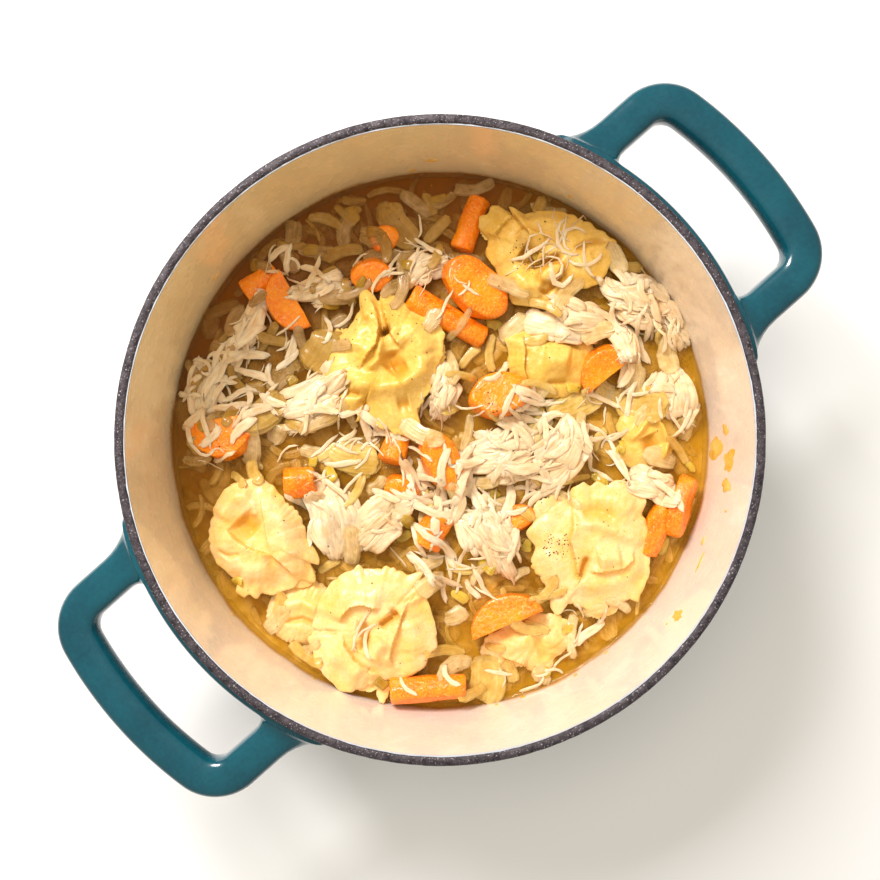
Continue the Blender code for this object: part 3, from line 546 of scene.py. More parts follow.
# Each ring: its middle, its plumpness (height of the seal, rise to the middle, bulk below), the size of
# its torn teeth, how it leans (rise along x and y), the outline of its skirt, and its folds. Points are
# in millimetres from the middle. A fold is (kind, height, width, points): "over" is a layer that ends
# in a step on the left of its line, "swell" a rounded roll or, when negative, a hollow, and "pocket" a
# plump bag given by its middle and the end of its longer half axis.
PASTA = {
    "tortellino_5": (
        (64, -45), (6.0, 4.5, 6.0), 1.1, (0.02, 0.05),
        ((24.7, 4), (21.5, 13), (22, 20), (17.5, 27), (10.3, 28.3), (5.6, 26.2), (2.1, 27.9),
         (-0.9, 25.9), (-4, 27.4), (-8, 25), (-10.4, 20.4), (-19, 15), (-25, 10.3), (-27.9, 6.2),
         (-24, -0.4), (-25.3, -8.6), (-21.4, -13.7), (-17.8, -19.3), (-16.8, -27), (-14.8, -29.8),
         (-12.3, -28), (-9.6, -24), (-3.9, -26.2), (1, -27.6), (7.3, -25), (12, -23.8), (16.5, -22),
         (19.4, -24), (20.8, -20), (23.4, -14), (24.5, -5)),
        (("over", 4.2, 6.0, ((-8.8, 21), (-8.4, 8.6), (-9.9, 3.4), (-8.8, -1), (-7.2, -7),
                             (-6.2, -13.7), (-8.6, -20))),
         ("swell", -4.4, 1.3, ((-2.6, -3.5), (-4.2, -8), (-6.0, -13.4))),
         ("swell", 4.2, 4.0, ((1, -5.0), (6, -4.0), (11.5, -3.4))),
         ("over", 3.0, 5.0, ((-3.5, -9.4), (1, -10), (6.9, -9.6), (12.6, -8.4), (16.4, -5.0), (17, 0))),
         ("swell", 2.4, 2.6, ((-5.6, 10.4), (1, 10.6), (8, 7), (16, 4.2), (21, 1))),
         ("swell", 2.6, 4.0, ((-3, -15.5), (6, -14.5), (15, -11.5), (20, -4))),
         ("swell", -1.8, 2.6, ((-5, 14), (2, 15.5), (9, 12.5))),
         ("swell", 1.8, 4.0, ((3, 21), (11, 20), (17, 15))),
         ("swell", -2.2, 1.0, ((-18, -16.5), (-15, -19), (-12.2, -21.4))),
         ("swell", -1.6, 0.9, ((-9.6, 24), (-9.2, 17)))),
    ),
    "tortellino_2": (
        (-22, 33), (6.0, 5.0, 6.0), 1.3, (0.0, -0.05),
        ((23.4, 5), (23.6, 13), (20.5, 17.3), (18.4, 19.8), (12.6, 20.2), (10.5, 22.3), (6.4, 25.2),
         (2.2, 28.2), (0.4, 31), (-2.2, 31.4), (-4, 25), (-6.4, 29.4), (-9.4, 31), (-11.4, 29),
         (-12.3, 21.1), (-15.2, 16.5), (-17.2, 13.6), (-22.7, 9), (-22.4, 5.4), (-24.6, 2),
         (-26.4, -3.4), (-26.8, -9.2), (-23.1, -12.1), (-18.4, -11.6), (-21.9, -16.9), (-21.6, -20.6),
         (-17.7, -22.2), (-13.6, -25.2), (-10.2, -18.4), (-8.6, -23.9), (-5.7, -26.6), (0.1, -28.7),
         (4, -30.8), (10.5, -30.6), (13.8, -27), (12.6, -20), (17.1, -12.9), (20.5, -3.4)),
        (("over", -4.2, 4.6, ((-8.6, 30), (-4.2, 20.2), (-3.2, 14.4), (-4.4, 7), (-8.4, 2), (-12.4, -5))),
         ("over", 4.4, 5.0, ((-3.4, 28), (-1.2, 19), (0.6, 13), (3, 8.6), (7, 4.4))),
         ("swell", -9.0, 2.2, ((-1.6, 13.6), (-0.2, 11.2))),
         ("swell", -5.0, 4.2, ((1.2, 4.6), (2.4, -1.4), (0, -4.4))),
         ("swell", -3.2, 3.0, ((8.4, -1.6), (3, -4.6))),
         ("swell", 3.2, 1.6, ((-2.6, 9), (-3.8, 0.6), (-8, -3.8))),
         ("swell", 4.0, 4.0, ((-18, -5), (-11, -9.4), (-3, -11), (7, -9), (15, -4), (17.5, 4))),
         ("swell", 3.0, 5.0, ((-15, 4), (-12, 14), (-10, 22))),
         ("swell", 2.6, 4.4, ((8, 18), (14, 10), (17, 3))),
         ("swell", -3.4, 1.6, ((-10, -16), (-9.6, -25))),
         ("swell", -2.6, 3.0, ((4, -18.6), (9.6, -17.6))),
         ("swell", -2.0, 2.2, ((-12, 17.6), (-7.6, 16.6))),
         ("swell", -3.0, 1.4, ((-17.4, -12.6), (-11, -14)))),
    ),
    "tortellino_4": (
        (-28, -79), (6.2, 4.2, 6.0), 1.2, (0.03, 0.03),
        ((26.3, 0.8), (24.9, 5.8), (22.8, 12), (23.8, 17), (24.4, 22.4), (21.6, 23.4), (19.4, 20),
         (13.7, 22.8), (5.8, 25.9), (1.7, 24.9), (-4.1, 24.9), (-6.2, 27), (-8.9, 24.4), (-12, 23.6),
         (-16.6, 19.9), (-21.6, 14), (-24, 8.3), (-24.6, 5.6), (-26.2, 0), (-22.4, -1.6), (-28.4, -4.4),
         (-26.1, -8.8), (-24, -16.2), (-17.8, -23.4), (-14.5, -27.2), (-10, -27.6), (-6.4, -26.4),
         (-1, -24), (3, -22.4), (10.4, -22), (16.6, -20), (22.4, -15.8), (23.4, -12), (26.6, -7.5)),
        (("over", -4.0, 5.5, ((4, 8.6), (0, 9.2), (-4.6, 10.4), (-9.4, 9.4), (-13, 5.5), (-14.6, 2))),
         ("over", -2.8, 5.5, ((-13.6, -1.6), (-11.4, -7), (-7.6, -12.6), (-1.4, -17.4), (5, -19.6))),
         ("over", -1.4, 7.0, ((9.5, 8.7), (14, 11.4), (18.7, 13.7), (23, 16.6))),
         ("swell", 2.2, 4.6, ((-17, 8), (-11, 15), (-2, 16.4), (8, 15), (16, 16.6))),
         ("swell", -5.0, 2.4, ((10.6, 6.8), (8.4, 5.4))),
         ("swell", -5.0, 1.5, ((9, 5.6), (5.4, 3.2), (3.0, 1.0))),
         ("over", -3.4, 6.0, ((15, 12), (12.4, 6), (10.6, 0), (8.6, -5.4), (7.2, -11.4), (8.4, -17))),
         ("swell", 4.6, 3.6, ((4.4, -3.4), (1.8, -8), (-0.6, -13))),
         ("swell", 2.2, 2.0, ((-7.4, 5), (-7.8, 0), (-5.6, -6))),
         ("swell", -2.4, 1.5, ((-3.6, 3.6), (-2.6, -4), (-4.4, -9.6))),
         ("swell", 2.6, 4.0, ((-17, -8), (-11, -15), (-5, -20))),
         ("swell", 1.8, 4.0, ((16, 4), (18, -3), (15, -11))),
         ("swell", -1.4, 1.2, ((-20.6, -1.4), (-15.6, -2.4)))),
    ),
    "tortellino_3": (
        (-73, -41), (6.4, 4.4, 6.4), 0.9, (0.0, 0.02),
        ((17.2, 0.3), (15.4, 6.4), (12.6, 11.7), (8.7, 14.6), (5.5, 18.6), (1.8, 22.7), (-2.6, 25),
         (-9.4, 24.4), (-17.3, 20.5), (-20.9, 15.4), (-23.3, 7.8), (-23.8, -3.2), (-21.8, -9.9),
         (-17, -14.5), (-12.6, -18.6), (-13, -23.6), (-9, -25.8), (-7.4, -23.8), (-4.2, -26.2),
         (-2, -23.6), (1.8, -24.5), (6.7, -23), (11.5, -21.4), (14.2, -18.4), (20.6, -19), (22, -11.6),
         (18.8, -10.6)),
        (("over", 4.2, 8.0, ((-3, 21), (-1, 13), (0.2, 7.4), (1.4, -0.9), (3, -6.5), (7.4, -10.6),
                             (11.4, -15.2), (14, -19))),
         ("over", 3.4, 7.0, ((4, -6.8), (-2, -5.8), (-7.2, -3.8), (-12.4, -0.6), (-17, 4.6))),
         ("swell", -5.0, 5.4, ((-11, 8.4), (-4.4, 1.6))),
         ("swell", -1.6, 0.9, ((-20.4, -5), (-15.6, -7.6), (-10.2, -6.7))),
         ("swell", 3.0, 4.4, ((-20, 8), (-14, 17), (-6, 19.6))),
         ("swell", 3.0, 4.6, ((5, 13), (9.4, 1), (12, -9))),
         ("swell", 2.2, 4.6, ((-16, -8), (-7, -14), (4, -15))),
         ("swell", 1.6, 1.5, ((-4.8, 16.6), (-4.2, 9)))),
    ),
    "tortellino_1": (
        (44, 76), (5.0, 5.2, 5.0), 0.9, (0.03, 0.0),
        ((28.5, 1), (30.4, 7.4), (25.7, 10.9), (20.5, 14.5), (14.5, 17.3), (8.4, 20.1), (0.4, 20.9),
         (-7.6, 19.6), (-12.9, 17.6), (-15, 22), (-19.3, 23.5), (-22.8, 22.4), (-24, 19.4),
         (-27.4, 18.6), (-28, 14.2), (-23.4, 9), (-24.6, 3), (-20.5, -4.4), (-15.4, -11), (-13.7, -18),
         (-5.6, -20), (2.4, -18.4), (8.4, -15.4), (13.4, -12.4), (19.3, -11.8), (24, -9.4),
         (26.6, -5.2)),
        (("over", -3.4, 6.0, ((-13.4, 8), (-11, 10.8), (-7.2, 11.9), (-2.4, 9.9), (1.4, 6.6))),
         ("over", 3.4, 5.0, ((-22, 8), (-18.4, 13.4), (-13, 18.6))),
         ("swell", -5.6, 4.2, ((-10, 4), (-6, 1.4), (-3, 0))),
         ("swell", -6.0, 1.5, ((-5.6, -3.6), (-1, -1.6), (7, 1.2))),
         ("swell", 2.4, 4.4, ((-17, 2), (-11, 15), (1, 15.6), (11, 12))),
         ("swell", 3.0, 4.2, ((-15, -6), (-8, -12), (0, -13))),
         ("pocket", 2.6, 3.6, ((3, -6.4), (8.4, -4))),
         ("swell", -2.6, 1.1, ((-3, -13), (1, -13.8), (5.6, -9), (8, -4))),
         ("swell", -2.0, 1.6, ((12, 3.4), (18.5, 6.5), (28, 8.4))),
         ("swell", 2.0, 4.0, ((14, -4), (21, 0)))),
    ),
    "tortellino_6": (
        (47, 33), (1.6, 6.6, 5.0), 0.5, (0.0, 0.0),
        ((20, 2), (17, 9), (9, 13.6), (0, 14.4), (-9, 14), (-15.6, 16.4), (-19.6, 12), (-18, 4),
         (-17, -6), (-12, -13), (-2, -15), (8, -14), (16, -8)),
        (("swell", 3.0, 6.0, ((-4, 2), (8, 0))),
         ("over", -2.4, 5.0, ((-12.6, 13), (-11, 5), (-11.6, -3), (-9, -10))),
         ("swell", -1.6, 1.2, ((-6, 9), (4, 9.8), (12, 6))),
         ("swell", -1.8, 1.2, ((-2, -9), (7, -8.4)))),
    ),
    "tortellino_7": (
        (38, -87), (1.2, 4.6, 4.0), 0.8, (0.02, 0.06),
        ((20, 7), (14, 12), (5, 13.6), (-4, 11), (-12, 7), (-19, 2), (-21, -4), (-15, -8), (-8, -9),
         (-2, -9.6), (1, -11.8), (6, -12.4), (9, -10.8), (11, -6), (15, -2.6), (21, 1.6)),
        (("swell", 2.4, 3.4, ((-14, -1), (-3, 3), (4, 8))),
         ("swell", -1.6, 1.8, ((1.6, 9), (4, 0), (6.4, -7))),
         ("over", 2.6, 5.0, ((-13, -4.4), (-7, -6.4), (-1, -9))),
         ("swell", 1.8, 3.0, ((8, 6), (12, 1)))),
    ),
    "tortellino_8": (
        (88, 0), (1.4, 5.2, 4.0), 0.4, (-0.02, 0.0),
        ((12, 3), (10, 9.6), (4, 14), (-3, 12), (-9, 13), (-13, 7), (-11, 0), (-14, -6), (-9, -11),
         (-1, -12.6), (6, -11), (11, -5)),
        (("swell", 3.4, 1.5, ((1, 11.6), (5.4, 6), (8, -1), (6, -9))),
         ("swell", 3.0, 1.6, ((1, 11), (-4, 4), (-9, -1))),
         ("swell", -3.6, 3.4, ((-1, 2), (2, -4)))),
    ),
    "tortellino_9": (
        (-58, -74), (0.6, 5.0, 4.0), 0.7, (0.02, 0.02),
        ((13, 5), (9, 12), (0, 15), (-9, 13), (-14, 7), (-16, -1), (-12, -9), (-4, -13), (5, -13),
         (12, -7)),
        (("swell", 2.4, 3.0, ((-9, 4), (0, 6), (8, 2))),
         ("swell", -2.0, 1.2, ((-8, -3), (0, -1.6), (8, -5)))),
    ),
}
# The second edge of a folded disc, where it shows under the first: a middle, half sizes, a turn in
# degrees and the height of the layer.
UNDER_LAYERS = {
    "tortellino_5": (((3, -22), (9.5, 8.5), -12, 2.6), ((-17, 14), (9, 7), 30, 4.6)),
    "tortellino_2": (((-17, 6), (8, 10), 70, 3.6), ((15, 4), (9, 14), 8, 4.0), ((2, -19), (12, 9), 0, 3.4)),
    "tortellino_4": (((4, -23), (3.2, 9.4), -4, 3.4), ((-2, -21), (9, 6), 10, 3.8),
                     ((-15, 2), (12, 10), 50, 4.2)),
    "tortellino_3": (((12, -15), (9, 6), -20, 3.8),),
    "tortellino_1": (((14, 2), (15, 9), 0, 2.4), ((-19, 15), (8, 7), 20, 1.6)),
}


def smooth_step(x):
    x = min(1, max(0, x))
    return x * x * (3 - 2 * x)


def warped_tube(bm, across, along, place):
    """Adds a grid wrapped into a tube. place(u, v) gives the point for u along it and v round it."""
    grid = bmesh.ops.create_grid(bm, x_segments=along, y_segments=across, size=0.5, calc_uvs=True)["verts"]
    for vert in grid:
        vert.co = place(vert.co.x + 0.5, vert.co.y + 0.5)
    return grid


def near_line(x, y, line):
    """(distance, side, share) of a point against a line: side +1 on its left, share 0 to 1 along it."""
    best = (1e9, 1, 0)
    pieces = len(line) - 1
    for i in range(pieces):
        (ax, ay), (bx, by) = line[i], line[i + 1]
        dx, dy = bx - ax, by - ay
        t = min(1, max(0, ((x - ax) * dx + (y - ay) * dy) / (dx * dx + dy * dy)))
        gap = math.hypot(x - ax - t * dx, y - ay - t * dy)
        if gap < best[0]:
            best = (gap, 1 if dx * (y - ay) - dy * (x - ax) > 0 else -1, (i + t) / pieces)
    return best


def folded(x, y, folds):
    """Rise of the pasta at a point, and how deep in a crease it lies, 0 to 1."""
    rise, crease = 0.0, 0.0
    for kind, height, width, points in folds:
        if kind == "pocket":
            (cx, cy), (ex, ey) = points
            longer = math.hypot(ex - cx, ey - cy)
            ax, ay = (ex - cx) / longer, (ey - cy) / longer
            q = math.hypot(((x - cx) * ax + (y - cy) * ay) / longer, ((y - cy) * ax - (x - cx) * ay) / width)
            if q < 1:
                rise += height * (1 - q**2.4) ** 0.7
            crease = max(crease, math.exp(-(((q - 1.04) * width / 1.0) ** 2)))
            continue
        gap, side, share = near_line(x, y, points)
        if kind == "swell":
            ends = smooth_step(0.25 + min(share, 1 - share) * 4)
            rise += height * ends * math.exp(-((gap / width) ** 2))
            if height < 0:
                crease = max(crease, min(1, -height / 3) * ends * math.exp(-((gap / width) ** 2)))
            continue
        ends = smooth_step(min(share, 1 - share) * 5)
        lies_over = side if height > 0 else -side
        if lies_over > 0:
            rise += abs(height) * ends * math.exp(-gap / width) * smooth_step(0.5 + gap / 0.5)
        else:
            rise += abs(height) * ends * 0.5 * max(0, 1 - gap / 0.35)
            crease = max(crease, ends * math.exp(-gap / 1.1))
    return rise, crease


def pasta_layer(bm, seed, middle, outline, plump, teeth, lean, folds, rings=64, around=180):
    """Adds one closed layer of pasta with this outline."""
    seal, dome, bulk = plump
    shift = Vector((seed * 5.1, seed * 2.7, 1.3))
    rim = sorted((math.atan2(y, x), math.hypot(x, y)) for x, y in outline)
    rim = [(rim[-1][0] - TURN, rim[-1][1]), *rim, (rim[0][0] + TURN, rim[0][1])]
    crease_depth = bm.verts.layers.float.get("fold") or bm.verts.layers.float.new("fold")

    def reach(angle):
        for (a0, r0), (a1, r1) in zip(rim, rim[1:]):
            if a0 <= angle <= a1:
                return r0 + (r1 - r0) * smooth_step((angle - a0) / (a1 - a0 + 1e-9))
        return rim[0][1]

    spans = []
    for i in range(around + 1):
        angle = TURN * (i % around) / around - math.pi
        round_edge = Vector((2 * math.cos(angle), 2 * math.sin(angle), 0))
        ragged = smooth_step(0.5 + 1.6 * noise.noise(round_edge + shift))
        bite = abs(math.sin(17 * angle + 2.5 * noise.noise(Vector((3 * angle, 0, 0)) + shift))) ** 0.7 - 0.5
        spans.append(reach(angle) + teeth * ragged * bite)
    turn_over = 0.74  # the share of the grid that makes the top
    creases = {}

    def place(u, v):
        step = round(v * around)
        angle = TURN * step / around - math.pi
        on_top = u <= turn_over
        share = (u / turn_over) ** 0.85 if on_top else 1 - (u - turn_over) / (1 - turn_over)
        # Rings lie evenly over the top, and close up where the edge rounds off.
        r = share * spans[step]
        x, y = r * math.cos(angle), r * math.sin(angle)
        rise, crease = folded(x, y, folds)
        edge = smooth_step((1 - share) / 0.22)
        loose = noise.noise(Vector((x, y, 0)) * 0.11 + shift) * 1.3
        loose += noise.noise(Vector((x, y, 3)) * 0.3 + shift) * 0.35
        ruffle = share**4 * 1.5 * noise.noise(Vector((x, y, 9)) * 0.17 + shift)
        z = seal + dome * (1 - share**2.2) + rise * (0.25 + 0.75 * edge) + loose + ruffle
        z += lean[0] * x + lean[1] * y
        half = SHEET * math.sqrt(max(0, 1 - max(0, (share - 0.95) / 0.05) ** 2))
        if on_top:
            creases[(u, v)] = crease * edge
            z += half
        else:
            z -= half + bulk * (1 - share**2) ** 0.7
            z = min(z, seal + 2)
        return Vector((middle[0] + x, middle[1] + y, z))

    grid = bmesh.ops.create_grid(bm, x_segments=rings, y_segments=around, size=0.5, calc_uvs=True)["verts"]
    for vert in grid:
        u, v = vert.co.x + 0.5, vert.co.y + 0.5
        vert.co = place(u, v)
        vert[crease_depth] = creases.get((u, v), 0)


def pasta_look(name, dark, light, deep):
    """Cooked egg pasta: smooth, moist and a little see-through, with painted shade that makes it darker and
    more golden down in its folds.
    """
    made, tree, shader = look(
        name, Roughness=0.36, Subsurface_Weight=0.3, Subsurface_Radius=(0.8, 0.65, 0.25),
        Subsurface_Scale=2 * MM, Coat_Weight=0.2, Coat_Roughness=0.16,
    )
    place = own_place(tree)
    colour, _ = mottled(tree, 13, 2.2, dark, light)
    # Painted shade: the colour turns to the deep tone down in the creases of the folds.
    fold = add(tree, "Attribute", attribute_name="fold").outputs["Fac"]
    colour = blend(tree, spread(tree, fold, 0.05, 0.95, 0.0, 0.85), colour, deep)
    meal = spread(tree, grainy(tree, place, 820, 4.0), 0.42, 0.62, 0.2, 0.0)
    colour = blend(tree, meal, colour, deep)
    flecks = spread(tree, grainy(tree, place, 1300, 2.0), 0.64, 0.72, 0.0, 0.5)
    tree.links.new(blend(tree, flecks, colour, tone(200, 144, 62)), shader.inputs["Base Color"])
    tree.links.new(patchy(tree, place, 160, 0.3, 0.55), shader.inputs["Roughness"])
    broad = reckon(tree, "MULTIPLY", grainy(tree, place, 170, 3.0), 1.6)
    skin = reckon(tree, "ADD", grainy(tree, place, 760, 4.0), broad)
    tree.links.new(relief(tree, skin, 0.45, 0.5 * MM), shader.inputs["Normal"])
    return made


# The rings in SHADED_RINGS take a darker, more golden copy of the pasta: partly their own deeper colour and
# partly painted shade.
PALE_PASTA = pasta_look("pale_pasta", tone(241, 200, 110), tone(249, 213, 158), tone(226, 166, 48))
DEEP_AND_SHADED_PASTA = pasta_look("deep_and_shaded_pasta", tone(230, 184, 76), tone(243, 206, 116), tone(204, 142, 24))
SHADED_RINGS = ("tortellino_1", "tortellino_2", "tortellino_6", "tortellino_8")
ground = []  # (points, faces) of what later pieces rest on, in the food's frame


def sealed(bm):
    """Merges the points where a wrapped grid meets itself, along its seam and at its ends."""
    bmesh.ops.remove_doubles(bm, verts=bm.verts, dist=SEAM)


def settled(bm):
    """Keeps the shape for later pieces to rest on."""
    bm.verts.index_update()
    ground.append(([v.co.copy() for v in bm.verts], [[v.index for v in f.verts] for f in bm.faces]))


def oval(middle, half, turn, points=14):
    """An uneven oval outline about the given middle, as points from (0, 0)."""
    turned_by = math.radians(turn)
    spots = []
    for i in range(points):
        a = TURN * i / points
        x, y = half[0] * math.cos(a), half[1] * math.sin(a)
        wobble = 1 + 0.12 * noise.noise(Vector((x, y, middle[0])) * 0.3)
        spots.append((
            wobble * (x * math.cos(turned_by) - y * math.sin(turned_by)),
            wobble * (x * math.sin(turned_by) + y * math.cos(turned_by)),
        ))
    return spots


for number, (name, (middle, plump, teeth, lean, outline, folds)) in enumerate(PASTA.items()):
    pasta_bm = bmesh.new()
    pasta_layer(pasta_bm, number + 3, middle, outline, plump, teeth, lean, folds)
    for (dx, dy), half, turn, height in UNDER_LAYERS.get(name, ()):
        at = (middle[0] + dx, middle[1] + dy)
        pasta_layer(
            pasta_bm, number + dx, at, oval((dx, dy), half, turn), (height, 0.8, 1.5), teeth, (0, 0), (),
            rings=18, around=80,
        )
    sealed(pasta_bm)
    settled(pasta_bm)
    finish = DEEP_AND_SHADED_PASTA if name in SHADED_RINGS else PALE_PASTA
    piece(name, pasta_bm, finish, "pasta", name, smooth=75, placed=FOOD)

# ---- Carrots ----------------------------------------------------------------------------------------
# Slices, split slices and stubby lengths of boiled carrot. The cut faces show a paler core with fine
# rays, and the outside is smooth and deep orange.


def laid(spot, turns):
    """Where a piece goes in the food's frame: turned about Z after it has rolled and tipped, in degrees."""
    turn, roll, tip = (math.radians(a) for a in turns)
    tilt = Euler((roll, tip, 0)).to_matrix().to_4x4()
    return Matrix.Translation(spot) @ Matrix.Rotation(turn, 4, "Z") @ tilt


def softened(bm, edge, rough, seed):
    """Rounds a cut piece's edges as boiling does, and makes it a little uneven."""
    sharp = [e for e in bm.edges if e.calc_face_angle(0) > math.radians(40)]
    bmesh.ops.bevel(
        bm, geom=sharp, offset=edge, segments=3, profile=0.5, affect="EDGES", material=-1, clamp_overlap=True
    )
    bmesh.ops.triangulate(bm, faces=[f for f in bm.faces if len(f.verts) > 4])
    for limit in (3.2, 1.9):
        long = [e for e in bm.edges if e.calc_length() > limit]
        bmesh.ops.subdivide_edges(bm, edges=long, cuts=1, use_grid_fill=True)
        bmesh.ops.triangulate(bm, faces=[f for f in bm.faces if len(f.verts) > 4])
    bm.normal_update()
    shift = Vector((seed * 7.3, 0, 0))
    for vert in bm.verts:
        swell = noise.noise(vert.co * 0.16 + shift) * rough + noise.noise(vert.co * 0.6 + shift) * 0.12
        vert.co += vert.normal * swell
    return bm


def carrot_coin(seed, length, width, thick):
    bm = bmesh.new()
    bmesh.ops.create_cone(
        bm, cap_ends=True, segments=40, radius1=0.5, radius2=0.46, depth=1,
        matrix=Matrix.Diagonal((length, width, thick, 1)),
    )
    layer = bm.verts.layers.float.new("core")
    softened(bm, 1.4, 0.9, seed)
    for vert in bm.verts:
        vert[layer] = math.hypot(vert.co.x / (length / 2), vert.co.y / (width / 2))
    return bm


def carrot_half(seed, length, width, thick):
    bm = bmesh.new()
    bmesh.ops.create_cone(
        bm, cap_ends=True, segments=48, radius1=0.5, radius2=0.47, depth=1,
        matrix=Matrix.Diagonal((length, 2 * width, thick, 1)),
    )
    whole = bm.verts[:] + bm.edges[:] + bm.faces[:]
    cut = bmesh.ops.bisect_plane(bm, geom=whole, plane_co=(0, 0, 0), plane_no=(0, -1, 0), clear_outer=True)
    bmesh.ops.holes_fill(bm, edges=[e for e in cut["geom_cut"] if isinstance(e, bmesh.types.BMEdge)])
    bmesh.ops.translate(bm, verts=bm.verts, vec=(0, -width / 2, 0))
    layer = bm.verts.layers.float.new("core")
    softened(bm, 1.1, 0.8, seed)
    for vert in bm.verts:
        vert[layer] = math.hypot(vert.co.x / (length / 2), (vert.co.y + width / 2) / width)
    return bm


def carrot_block(seed, length, width, thick):
    bm = bmesh.new()
    bmesh.ops.create_cone(
        bm, cap_ends=True, segments=8, radius1=0.56, radius2=0.50, depth=1,
        matrix=Matrix.Rotation(math.pi / 2, 4, "Y") @ Matrix.Rotation(math.pi / 8, 4, "Z"),
    )
    bmesh.ops.transform(bm, matrix=Matrix.Diagonal((length, width, thick, 1)), verts=bm.verts)
    layer = bm.verts.layers.float.new("core")
    softened(bm, 1.2, 0.8, seed)
    for vert in bm.verts:
        flat = 1 if abs(vert.co.x) > length / 2 - 1.0 else 0
        vert[layer] = math.hypot(vert.co.y / (width / 2), vert.co.z / (thick / 2)) if flat else 1
    return bm


# Each piece: its shape, its middle, its turn, roll and tip, and its length, width and thickness.
CARROTS = {
    "carrot_1": (carrot_block, (-76, 67, 1), (36, 0, 6), (17, 11, 9)),
    "carrot_2": (carrot_half, (-67, 57, 4), (118, 4, -12), (28, 13, 9)),
    "carrot_3": (carrot_coin, (-29, 70, 3), (8, 20, 0), (19, 14, 9)),
    "carrot_4": (carrot_coin, (15, 64, 7), (-42, -8, 10), (33, 21, 9)),
    "carrot_5": (carrot_block, (3, 52, 2), (-29, 0, 8), (36, 11, 11)),
    "carrot_6": (carrot_coin, (25, 19, 7), (12, -14, 4), (27, 19, 9)),
    "carrot_7": (carrot_half, (67, 32, 6), (40, 8, -10), (25, 12, 10)),
    "carrot_8": (carrot_half, (-91, 0, 5), (190, 8, 6), (31, 17, 8)),
    "carrot_9": (carrot_block, (-59, -18, 5), (6, 0, 0), (13, 13, 13)),
    "carrot_10": (carrot_coin, (1, -9, 8), (-62, -12, 10), (29, 16, 9)),
    "carrot_11": (carrot_block, (-19, -3, 3), (75, 0, 20), (14, 11, 10)),
    "carrot_12": (carrot_coin, (-16, -22, 3), (-35, 12, 0), (17, 13, 9)),
    "carrot_13": (carrot_block, (-3, -38, 4), (60, 0, -8), (15, 13, 11)),
    "carrot_14": (carrot_coin, (33, -33, 2), (10, -10, 0), (16, 12, 8)),
    "carrot_15": (carrot_half, (26, -72, 6), (24, -10, -4), (33, 13, 11)),
    "carrot_16": (carrot_block, (-5, -104.5, 7), (4, 0, 0), (32, 11, 13)),
    "carrot_17": (carrot_coin, (101.5, -28, 7), (75, 62, 0), (27, 15, 6.5)),
    "carrot_18": (carrot_block, (91, -38, 4), (66, 0, -8), (22, 11, 11)),
    "carrot_19": (carrot_coin, (-24, 86, 0), (20, 8, 6), (14, 12, 8)),
    "carrot_20": (carrot_block, (13, 92, 0), (70, 0, 6), (24, 10, 9)),
}


def carrot_look():
    made, tree, shader = look(
        "boiled_carrot", Roughness=0.3, Subsurface_Weight=0.15, Subsurface_Radius=(1.0, 0.45, 0.1),
        Subsurface_Scale=2 * MM, Coat_Weight=0.3, Coat_Roughness=0.1,
    )
    place = own_place(tree)
    core = add(tree, "Attribute", attribute_name="core").outputs["Fac"]
    colour, _ = mottled(tree, 7, 1.1, tone(238, 106, 0), tone(255, 144, 2))
    ring = reckon(tree, "ADD", core, reckon(tree, "MULTIPLY", grainy(tree, place, 260), 0.3))
    colour = blend(tree, spread(tree, ring, 0.95, 0.45, 0.0, 0.4), colour, tone(255, 162, 12))
    rays = spread(tree, grainy(tree, place, 950, 3.0, 1.2), 0.5, 0.66, 0.0, 0.6)
    colour = blend(tree, rays, colour, tone(255, 172, 40))
    # Painted glints: pale specks in the colour stand for highlights on the wet flesh.
    painted_glints = spread(tree, grainy(tree, place, 1400, 2.0), 0.6, 0.7, 0.0, 0.6)
    tree.links.new(blend(tree, painted_glints, colour, tone(255, 214, 140)), shader.inputs["Base Color"])
    tree.links.new(patchy(tree, place, 220, 0.2, 0.42), shader.inputs["Roughness"])
    tree.links.new(relief(tree, grainy(tree, place, 520, 4.0), 0.9, 0.7 * MM), shader.inputs["Normal"])
    return made


CARROT = carrot_look()
for number, (name, (shape, spot, turns, sizes)) in enumerate(CARROTS.items()):
    carrot_bm = shape(number, *sizes)
    bmesh.ops.transform(carrot_bm, matrix=laid(spot, turns), verts=carrot_bm.verts)
    settled(carrot_bm)
    piece(name, carrot_bm, CARROT, "carrot", name, smooth=60, placed=FOOD)

# ---- Pulled chicken ---------------------------------------------------------------------------------
# Poached breast torn along its grain. Each bundle is a few broad bands of muscle with finer strands and
# wisps lying along them, and they sag over what is under them.

# Each bundle: its middle, its heading in degrees, and its length, width, thickness and bend.
CHICKEN = {
    "chicken_1": ((53, 51, 10), -8, (33, 17, 10, 18)),
    "chicken_2": ((80, 60, 9), -35, (32, 18, 11, 50)),
    "chicken_3": ((96, 50, 6), -62, (30, 12, 10, 20)),
    "chicken_4": ((99, 19, 7), -80, (26, 19, 13, 8)),
    "chicken_5": ((79, 34, 9), -75, (30, 8, 7, -30)),
    "chicken_6": ((52, -5, 8), 48, (34, 20, 11, 16)),
    "chicken_7": ((27, -7, 6), 10, (30, 26, 11, 30)),
    "chicken_8": ((21, -42, 7), -62, (36, 20, 11, -12)),
    "chicken_9": ((-46, -28, 8), 100, (42, 15, 10, 14)),
    "chicken_10": ((-27, -35, 7), 38, (30, 16, 10, -24)),
    "chicken_11": ((1, 20, 8), 72, (25, 12, 9, 20)),
    "chicken_12": ((-50, 64, 6), 12, (25, 14, 9, 20)),
    "chicken_13": ((-82, 45, 5), 60, (36, 9, 7, 24)),
    "chicken_14": ((-54, 17, 5), 28, (36, 20, 10, 20)),
    "chicken_15": ((-100, 22, 2), 84, (26, 12, 9, -14)),
    "chicken_16": ((-8, 72, 5), 30, (24, 10, 8, -30)),
    "chicken_17": ((90, -20, 8), -24, (26, 11, 9, 18)),
}
